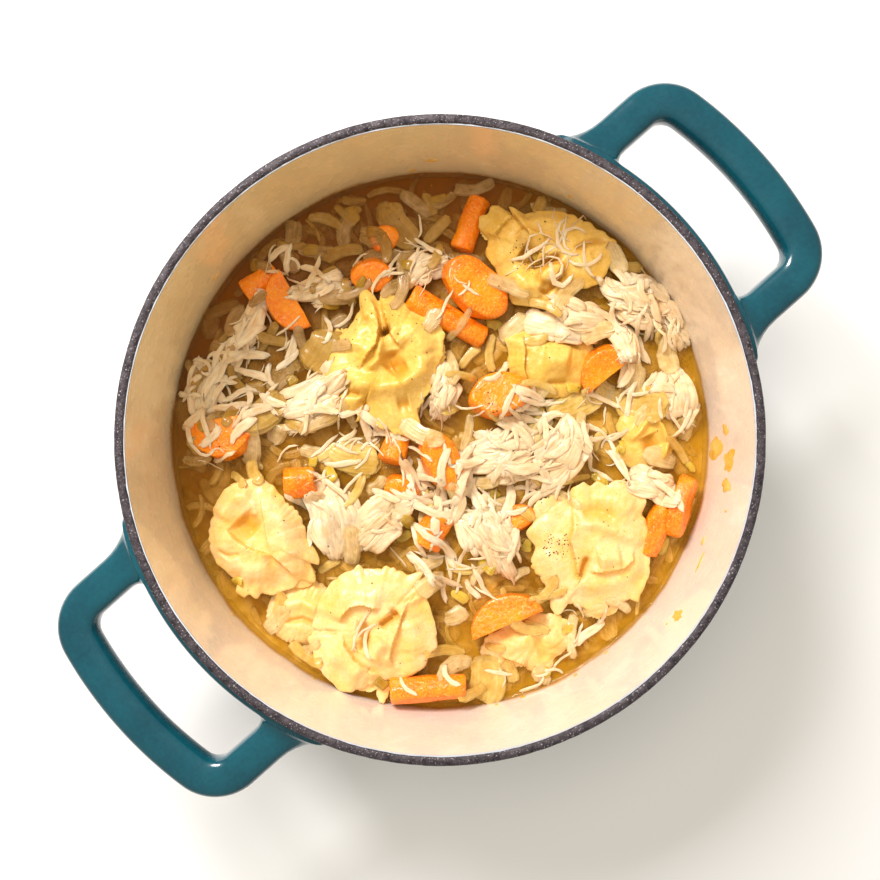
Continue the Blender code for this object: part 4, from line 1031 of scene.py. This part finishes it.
# How much of a bundle is loose strands, and how broad its flakes are, where it isn't as most are.
LOOSE = {
    "chicken_1": 0.6, "chicken_2": 1.3, "chicken_4": 0.6,
    "chicken_9": 0.12, "chicken_10": 0.4, "chicken_17": 0.5,
}
BROAD = {
    "chicken_1": 1.4, "chicken_4": 1.4, "chicken_6": 1.2,
    "chicken_9": 1.9, "chicken_10": 1.3, "chicken_17": 1.3,
}
POT_REACH = edge_r / MM - 1.5  # how far out food can lie at the broth


def heap_of(shapes):
    """A tree of these shapes, for finding what lies on top of them."""
    points, faces = [], []
    for some_points, some_faces in shapes:
        base = len(points)
        points += some_points
        faces += [[i + base for i in face] for face in some_faces]
    return BVHTree.FromPolygons(points, faces)


def resting(heap, x, y):
    """Height of what lies on top here, at least the broth's."""
    hit = heap.ray_cast(Vector((x, y, 80)), Vector((0, 0, -1)))[0]
    return max(0.0, hit.z) if hit else 0.0


def strand(bm, points, half_width, half_thick, sides, blunt, twist, ribs, torn, seed, wavy=0.42):
    """Adds a closed strand along these points, flat to half_thick. Blunt ends are wider, ribs are grooves
    along it and torn is how far its fibres run past each other at the ends."""
    along = len(points) - 1
    frames = []
    for i, point in enumerate(points):
        ahead = (points[min(along, i + 1)] - points[max(0, i - 1)]).normalized()
        across = ahead.cross(Vector((0, 0, 1))).normalized()
        turn = Matrix.Rotation(twist * (i / along - 0.5), 3, ahead)
        frames.append((point, turn @ across, turn @ across.cross(ahead)))

    def place(u, v):
        point, across, up = frames[round(u * along)]
        run = -math.cos(math.pi * u)
        taper = max(0.0, 1 - abs(run) ** (2 * blunt)) ** (1 / blunt)
        a = TURN * (v % 1)
        uneven = 1 + wavy * noise.noise(Vector((2.6 * u, seed + 3, half_width)))
        lane = half_width * uneven * math.cos(a)
        groove = 1 + ribs * noise.noise(Vector((lane * 1.5, seed, 2 * u)))
        past = torn * run**3 * noise.noise(Vector((lane * 1.5, seed + 7, 0)))
        ahead = across.cross(up)
        rise = half_thick * taper * groove * math.sin(a)
        return point + across * (lane * taper) + up * rise + ahead * past

    warped_tube(bm, sides, along, place)


def trail(rng, heap, x, y, heading, length, curl, lift, steps=9, rough=0.5, low=None):
    """A wandering line about (x, y) that rests on the heap. Angles are in radians."""
    spots = [Vector((0, 0))]
    angle = heading - curl / 2
    for i in range(steps):
        # Points lie closer together towards both ends, so that these come out blunt.
        share = (math.cos(math.pi * i / steps) - math.cos(math.pi * (i + 1) / steps)) / 2
        angle += curl * share + rng.uniform(-0.25, 0.25) * rough
        spots.append(spots[-1] + Vector((math.cos(angle), math.sin(angle))) * length * share)
    middle = sum(spots, Vector((0, 0))) / len(spots)
    points = []
    for spot in spots:
        at = spot - middle + Vector((x, y))
        if at.length > POT_REACH:
            at *= POT_REACH / at.length
        z = resting(heap, at.x, at.y) + lift if low is None else low
        points.append(Vector((at.x, at.y, z)))
    for _ in range(3):
        heights = [p.z for p in points]
        for i in range(1, steps):
            points[i].z = max(heights[i], (heights[i - 1] + heights[i + 1]) / 2)
    return points


def new_strands():
    """An empty shape whose faces carry a place along and round their strand."""
    bm = bmesh.new()
    bm.loops.layers.uv.new("grain")
    return bm


def bundle(bm, heap, rng, spot, turn, sizes, loose, broad):
    """One torn bundle: broad flakes first, then strands along them, then wisps that come loose."""
    (cx, cy, above), (length, width, thick, bend) = spot, sizes
    middle = Vector((cx, cy))
    heading, arc = math.radians(turn), math.radians(bend)
    sideways = Vector((-math.sin(heading), math.cos(heading)))
    forward = Vector((math.cos(heading), math.sin(heading)))
    area = length * width
    flakes = int(3 + area / 95)
    strands = int((4 + area / 46) * loose)
    wisps = int((2 + area / 120) * loose)
    flake_widths = (2.2 * broad, 4.4 * broad)
    # How many, their span as a share of the bundle's, half width, half thickness, how far they rise over
    # the bundle from first to last, how widely they lie, how unruly, then sides, bluntness, ribs and tear.
    kinds = (
        (flakes, (0.42, 0.74), flake_widths, (1.0, 1.7), (0, 0.5), 0.8, 0.34, 26, 3.4, 0.8, 3.2),
        (strands, (0.3, 0.72), (0.8, 2.5), (0.34, 0.62), (0.8, 0.8), 1.05, 0.85, 12, 2.4, 0.8, 3.4),
        (wisps, (0.25, 0.6), (0.3, 0.55), (0.26, 0.4), (1.3, 1.3), 1.25, 1.5, 6, 1.8, 0.3, 0.8),
    )
    for count, spans, widths, thicks, (first, last), wide, unruly, sides, blunt, ribs, torn in kinds:
        for item in range(count):
            lane = rng.uniform(-1, 1)
            shift = rng.uniform(-0.5, 0.5) * length * 0.6
            span = length * rng.uniform(*spans) * (1 - 0.25 * abs(lane))
            at = middle + sideways * lane * width * 0.42 * wide + forward * shift
            half_w, half_t = rng.uniform(*widths), rng.uniform(*thicks)
            lie = heading + rng.uniform(-0.4, 0.4) * unruly + arc * shift / length
            curl = arc * span / length + rng.uniform(-1.0, 1.0) * unruly
            points = trail(rng, heap, at.x, at.y, lie, span, curl, half_t * 0.7, steps=12, rough=unruly * 0.9)
            over = first + (last - first) * item / count
            crown = (above + thick * 0.26 * (1 - lane * lane) + over) * rng.uniform(0.5, 1)
            for i, point in enumerate(points):
                arch = math.sin(math.pi * (i + 0.5) / len(points)) ** 0.35
                inside = 1 - min(1, abs((point.xy - middle).dot(forward)) / (length * 0.62)) ** 2
                point.z = max(point.z, crown * arch * max(0, inside))
            twist = rng.uniform(-0.7, 0.7)
            strand(bm, points, half_w, half_t, sides, blunt, twist, ribs, torn, rng.uniform(0, 90))


def chicken_look():
    """Poached breast: pale, fibrous along its grain, moist in the folds."""
    made, tree, shader = look(
        "pulled_chicken", Roughness=0.5, Subsurface_Weight=0.3, Subsurface_Radius=(1.0, 0.6, 0.35),
        Subsurface_Scale=2 * MM, Coat_Weight=0.2, Coat_Roughness=0.12,
    )
    place = own_place(tree)
    grain = add(tree, "UVMap", uv_map="grain").outputs["UV"]
    lines = add(tree, "Mapping", {"Vector": grain, "Scale": (3.0, 26.0, 1.0)}).outputs["Vector"]
    fibre = grainy(tree, lines, 1.0, 3.0, 0.4)
    colour, _ = mottled(tree, 11, 2.0, tone(234, 198, 150), tone(250, 226, 190))
    # Painted shade in the grooves: darker brown between the fibres, where the relief sinks.
    colour = blend(tree, spread(tree, fibre, 0.5, 0.34, 0.0, 0.55), colour, tone(214, 164, 104))
    tree.links.new(colour, shader.inputs["Base Color"])
    tree.links.new(patchy(tree, place, 300, 0.34, 0.66), shader.inputs["Roughness"])
    tree.links.new(relief(tree, fibre, 0.6, 0.35 * MM), shader.inputs["Normal"])
    return made


CHICKEN_LOOK = chicken_look()
laid_heap = heap_of(ground)
for number, (name, (spot, turn, sizes)) in enumerate(CHICKEN.items()):
    chicken_bm = new_strands()
    rng = random.Random(40 + number)
    bundle(chicken_bm, laid_heap, rng, spot, turn, sizes, LOOSE.get(name, 1), BROAD.get(name, 1))
    sealed(chicken_bm)
    settled(chicken_bm)
    piece(name, chicken_bm, CHICKEN_LOOK, "chicken", name, smooth=80, placed=FOOD)

# ---- Leek and onion ---------------------------------------------------------------------------------
# Softened slivers of leek and onion, almost see-through, with veins along them. Larger ones lie
# on top, and many small ones hang in the clear layer of the broth and float on it.

# Each slice: its middle, its heading in degrees, and its length, width and bend.
LEEKS = {
    "leek_1": ((58, 17), 14, (26, 11, 60)),
    "leek_2": ((-18, 92), -70, (20, 11, 50)),
    "leek_3": ((-75, 12), 30, (20, 12, 70)),
    "leek_4": ((-51, 38), 40, (19, 14, 60)),
    "leek_5": ((19, -101), 80, (19, 15, 80)),
    "leek_6": ((-36, -8), -25, (20, 12, 60)),
    "leek_7": ((84, 16), -30, (20, 13, 70)),
}


def leek_look(name, pale, green, clear, solid, edge):
    """Softened leaf with its colours, how solid it looks where thin and where thick, and at its edge."""
    made, tree, shader = look(
        name, Subsurface_Weight=0.25, Subsurface_Radius=(1.0, 0.8, 0.4), Subsurface_Scale=2 * MM,
        Coat_Weight=0.5, Coat_Roughness=0.06,
    )
    place = own_place(tree)
    grain = add(tree, "UVMap", uv_map="grain").outputs["UV"]
    lines = add(tree, "Mapping", {"Vector": grain, "Scale": (0.8, 17.0, 1.0)}).outputs["Vector"]
    vein = spread(tree, grainy(tree, lines, 1.0, 2.0), 0.42, 0.6)
    colour, cloud = mottled(tree, 16, 2.5, green, pale)
    colour = blend(tree, reckon(tree, "MULTIPLY", vein, 0.2), colour, tone(250, 224, 160))
    shaded = reckon(tree, "MULTIPLY", toward_shade(tree, 10 * MM, 90 * MM), 0.7)
    colour = blend(tree, shaded, colour, tone(158, 102, 16))
    tree.links.new(colour, shader.inputs["Base Color"])
    body = reckon(tree, "ADD", reckon(tree, "MULTIPLY", vein, 0.3), reckon(tree, "MULTIPLY", cloud, 0.7))
    around = reckon(tree, "MULTIPLY", add(tree, "SeparateXYZ", {"Vector": grain}).outputs["Y"], TURN)
    inward = reckon(tree, "ABSOLUTE", reckon(tree, "SINE", around))
    thin = spread(tree, inward, 0.0, 0.75, edge, 1.0)
    held = reckon(tree, "MULTIPLY", spread(tree, body, 0.1, 0.9, clear, solid), thin)
    tree.links.new(held, shader.inputs["Alpha"])
    tree.links.new(spread(tree, cloud, 0.0, 1.0, 0.12, 0.3), shader.inputs["Roughness"])
    wet = reckon(tree, "ADD", vein, grainy(tree, place, 420, 3.0))
    tree.links.new(relief(tree, wet, 0.4, 0.3 * MM), shader.inputs["Normal"])
    return made


LEEK = leek_look("soft_leek", tone(244, 208, 120), tone(224, 176, 62), 0.5, 0.9, 0.6)
ONION = leek_look("soft_onion", tone(252, 224, 170), tone(236, 194, 110), 0.3, 0.85, 0.4)
GREEN = leek_look("green_leek", tone(222, 184, 52), tone(180, 146, 14), 0.8, 1.0, 1.0)
SUNK = leek_look("sunk_onion", tone(246, 202, 104), tone(214, 158, 44), 0.35, 0.9, 0.1)


def sliver(bm, heap, rng, x, y, heading, length, width, thick, curl, lift=0.5, low=None, fine=False):
    """Adds one slice of leaf that lies on the heap, or hangs level at the height low."""
    steps, sides = (11, 16) if fine else (6, 9)
    points = trail(rng, heap, x, y, heading, length, curl, lift, steps=steps, rough=0.3, low=low)
    strand(
        bm, points, width / 2, thick / 2, sides, rng.uniform(2.0, 4.0), rng.uniform(-0.5, 0.5), 0.3,
        0.2 * width, rng.uniform(0, 90), wavy=0.3,
    )


laid_heap = heap_of(ground)
for number, (name, ((cx, cy), turn, (length, width, bend))) in enumerate(LEEKS.items()):
    leek_bm = new_strands()
    rng = random.Random(90 + number)
    for layer in range(2):
        x, y = cx + rng.uniform(-1.5, 1.5) * layer, cy + rng.uniform(-1.5, 1.5) * layer
        heading = math.radians(turn + 14 * layer)
        sliver(
            leek_bm, laid_heap, rng, x, y, heading, length, width, 1.3, math.radians(bend) * 0.6,
            0.8 + layer, fine=True,
        )
    sealed(leek_bm)
    settled(leek_bm)
    piece(name, leek_bm, LEEK, "leek", name, smooth=80, placed=FOOD)


HEAPED = 6.5  # small bits don't stay on food that is higher than this


def scattered(seed, count, reach=POT_REACH - 3):
    """Places over the whole pot, few of them close together."""
    rng = random.Random(seed)
    apart = 0.55 * reach / math.sqrt(count) * 2
    spots = []
    while len(spots) < count:
        spot = Vector((rng.uniform(-reach, reach), rng.uniform(-reach, reach)))
        if spot.length > reach:
            continue
        crowded = any((s - spot).length < apart for s in spots)
        if not crowded or rng.random() < 0.15:
            spots.append(spot)
    return spots


for name, seed, count, lengths, widths, depths, curl in (
    ("onion_sunk", 5, 320, (8, 20), (4, 11), (-4.6, -0.6), 0.9),
    ("leek_sunk", 6, 240, (9, 20), (2.0, 5), (-3.0, -0.2), 2.4),
):
    bits_bm = new_strands()
    rng = random.Random(seed)
    for spot in scattered(seed, count):
        depth = rng.uniform(*depths)
        sliver(
            bits_bm, laid_heap, rng, spot.x, spot.y, rng.uniform(0, TURN), rng.uniform(*lengths),
            rng.uniform(*widths), rng.uniform(0.8, 1.6), rng.uniform(-curl, curl), low=depth,
        )
    sealed(bits_bm)
    piece(name, bits_bm, SUNK, "leek", smooth=80, placed=FOOD)

for name, finish, seed, count, lengths, widths, lift in (
    ("onion_bits", ONION, 11, 150, (9, 21), (3.6, 8.5), 0.4),
    ("leek_bits", LEEK, 12, 110, (8, 18), (3, 6), 0.6),
    ("green_bits", GREEN, 13, 75, (4, 9), (3, 5.5), 0.7),
):
    bits_bm = new_strands()
    rng = random.Random(seed)
    for spot in scattered(seed, count):
        if resting(laid_heap, spot.x, spot.y) > HEAPED:
            continue
        sliver(
            bits_bm, laid_heap, rng, spot.x, spot.y, rng.uniform(0, TURN), rng.uniform(*lengths),
            rng.uniform(*widths), rng.uniform(0.7, 1.3), rng.uniform(-1.5, 1.5), lift,
        )
    sealed(bits_bm)
    settled(bits_bm)
    piece(name, bits_bm, finish, "leek", smooth=80, placed=FOOD)

# ---- Loose shreds -----------------------------------------------------------------------------------
# Single strands and curls of the same chicken, which have come away from the bundles and lie over
# everything. Each patch is (x, y, reach, strands, heading, spread, curl, how thick).

SHREDS = (
    (86, 56, 18, 36, 120, 60, 2.6, 0.9),
    (54, 80, 13, 13, 140, 90, 4.6, 0.55),
    (50, -4, 26, 40, 30, 70, 0.9, 1.0),
    (12, -45, 24, 34, 120, 50, 0.8, 1.0),
    (-88, 18, 20, 34, 40, 70, 1.2, 0.9),
    (-74, 40, 13, 14, 60, 40, 0.8, 0.8),
    (-62, 74, 12, 8, 20, 60, 1.2, 0.7),
    (-40, 12, 22, 26, 20, 80, 1.0, 0.9),
    (-46, -30, 16, 5, 100, 30, 0.5, 0.8),
    (-12, -32, 20, 18, 150, 50, 0.8, 1.1),
    (8, -18, 16, 14, 120, 60, 0.8, 1.0),
    (36, -22, 14, 14, 40, 60, 0.8, 1.1),
    (36, 12, 12, 10, 20, 60, 0.8, 1.0),
    (-28, 4, 16, 12, 10, 50, 0.8, 1.1),
    (-6, 20, 12, 12, 70, 60, 1.0, 0.9),
    (-8, 68, 18, 14, 20, 80, 1.4, 0.7),
    (36, -96, 16, 12, 30, 60, 0.9, 0.9),
    (62, -78, 8, 8, 80, 40, 0.6, 0.8),
    (-86, -32, 8, 4, 60, 50, 0.9, 0.6),
    (-30, -82, 5, 3, 50, 20, 3.1, 0.7),
    (40, 78, 9, 5, 20, 80, 4.2, 0.5),
    (92, 14, 16, 16, 100, 50, 1.0, 0.9),
    (75, -16, 14, 10, 0, 60, 1.0, 0.8),
    (0, 0, 105, 70, 0, 180, 2.2, 0.6),
)
CURLED = 3  # radians of curl past which a strand is long, and lies on the pasta too
pasta_heap = heap_of(ground[: len(PASTA)])
laid_heap = heap_of(ground)
shred_bm = new_strands()
rng = random.Random(77)
for x, y, reach, count, heading, fan, curl, thick in SHREDS:
    for _ in range(count):
        a, r = rng.uniform(0, TURN), reach * math.sqrt(rng.random())
        at = Vector((x + r * math.cos(a), y + r * math.sin(a)))
        if curl < CURLED and resting(pasta_heap, at.x, at.y) > 3:
            continue
        half = thick * rng.choice((0.3, 0.45, 0.65, 0.9, 1.3))
        span = rng.uniform(6, 13) + 5 * half + (8 if curl > CURLED else 0)
        lie = math.radians(heading + rng.uniform(-fan, fan))
        points = trail(
            rng, laid_heap, at.x, at.y, lie, span, rng.uniform(-curl, curl), half * 0.55, steps=8, rough=1.3
        )
        blunt, twist = rng.uniform(1.8, 3.2), rng.uniform(-0.8, 0.8)
        half_t = 0.2 + half * 0.22
        strand(shred_bm, points, half * 1.45, half_t, 6, blunt, twist, 0.5, half * 3.6, rng.uniform(0, 90))
sealed(shred_bm)
piece("chicken_shreds", shred_bm, CHICKEN_LOOK, "chicken", smooth=80, placed=FOOD)

# ---- Cracked pepper ---------------------------------------------------------------------------------
# Coarsely ground black pepper, dark husk and paler core. It lies thickest on the left flank of one ring
# and in the hollow of another, with single grains over everything.

# Each patch is (x, y, reach, grains).
PEPPER = (
    (49, -44, 6, 60),
    (68, -40, 16, 16),
    (37, 77, 8, 60),
    (-22, 38, 20, 22),
    (26, 17, 7, 14),
    (-28, -70, 14, 7),
    (-75, -36, 14, 4),
    (0, 0, 108, 60),
)


def pepper_look():
    made, tree, shader = look("cracked_pepper", Roughness=0.6)
    colour, _ = mottled(tree, 3, 0.3, tone(38, 22, 10), tone(120, 78, 34))
    tree.links.new(colour, shader.inputs["Base Color"])
    return made


pepper_bm = bmesh.new()
rng = random.Random(31)
for x, y, reach, count in PEPPER:
    for _ in range(count):
        a, r = rng.uniform(0, TURN), reach * math.sqrt(rng.random())
        px, py = x + r * math.cos(a), y + r * math.sin(a)
        size = rng.uniform(0.12, 0.42)
        turn = Euler((rng.uniform(0, 3), rng.uniform(0, 3), rng.uniform(0, 3))).to_matrix().to_4x4()
        shape = turn @ Matrix.Diagonal((size * rng.uniform(0.8, 1.5), size, size * rng.uniform(0.5, 0.9), 1))
        spot = Matrix.Translation((px, py, resting(laid_heap, px, py) + size * 0.3))
        bmesh.ops.create_icosphere(pepper_bm, subdivisions=1, radius=1, matrix=spot @ shape)
piece("pepper", pepper_bm, pepper_look(), "pepper", smooth=30, placed=FOOD)

# ---- Fat on the broth, and flecks on the wall -------------------------------------------------------
# Beads of melted fat float on the broth as small clear lenses. A few crumbs of pasta and leek have
# splashed on to the wall above it and dried there.


def bead_look():
    made, tree, shader = look("melted_fat", Roughness=0.04, Specular_IOR_Level=0.9, Alpha=0.3)
    colour, _ = mottled(tree, 5, 1, tone(196, 134, 24), tone(226, 170, 50))
    tree.links.new(colour, shader.inputs["Base Color"])
    return made


bead_bm = bmesh.new()
rng = random.Random(63)
for spot in scattered(64, 300, POT_REACH - 2):
    if resting(laid_heap, spot.x, spot.y) > 0.1:
        continue
    size = rng.uniform(0.25, 0.95) ** 1.4
    lens = Matrix.Diagonal((size, size * rng.uniform(0.8, 1), size * 0.3, 1))
    afloat = Matrix.Translation((spot.x, spot.y, 0.02))
    bmesh.ops.create_icosphere(bead_bm, subdivisions=1, radius=1, matrix=afloat @ lens)
piece("fat_beads", bead_bm, bead_look(), "broth", smooth=90, placed=FOOD)

# Each fleck: its bearing from the camera's right-hand side in degrees, then in millimetres its rise above
# the broth, half its length round the wall and half its height.
FLECKS = (
    (-1.7, 12, 4.6, 9.0), (-4, 30, 4.2, 6.0), (-9, 30, 2.4, 5.5), (2, 25, 2.0, 3.2),
    (-21, 20, 2.0, 1.2), (-25, 27, 4.6, 1.0), (-36.4, 37, 2.0, 4.2), (-39, 33, 0.5, 0.8),
    (-14, 36, 0.4, 1.2), (91.7, 17, 2.6, 1.5), (95.9, 5.5, 1.5, 1.2), (144, 14, 2.0, 0.8),
    (62, 12, 0.9, 1.4), (64, 9, 0.6, 0.8), (-60, 6, 0.8, 1.2), (-72, 4, 1.1, 1.4),
    (-78, 5, 0.7, 1.0), (-52, 4, 0.8, 1.2), (-140, 5, 0.9, 1.2), (-118, 4, 0.8, 1.0),
)
dried_fleck, fleck_tree, fleck_shader = look("dried_fleck", Roughness=0.5)
fleck_colour, _ = mottled(fleck_tree, 9, 1.2, tone(226, 168, 34), tone(250, 214, 120))
fleck_tree.links.new(fleck_colour, fleck_shader.inputs["Base Color"])
fleck_bm = bmesh.new()
for bearing, above, half_round, half_up in FLECKS:
    wall_r = inner_radius(LEVEL + above * MM) / MM
    shape = Matrix.Diagonal((0.25, half_round, half_up, 1))
    tilt = Matrix.Rotation(LEAN, 4, "Y") @ Matrix.Rotation(rng.uniform(-0.3, 0.3), 4, "X")
    against = Matrix.Translation((wall_r - 0.05, 0, above))
    spot = Matrix.Rotation(math.radians(bearing), 4, "Z") @ against @ tilt
    blob = bmesh.ops.create_icosphere(fleck_bm, subdivisions=3, radius=1)["verts"]
    for vert in blob:
        at = vert.co + Vector((0, bearing, above))
        ragged = 1 + 0.9 * noise.noise(at * 1.6) * (1 - abs(vert.co.x))
        vert.co = spot @ shape @ Vector((vert.co.x, vert.co.y * ragged, vert.co.z * ragged))
piece("wall_flecks", fleck_bm, dried_fleck, "pasta", smooth=60, placed=FOOD)
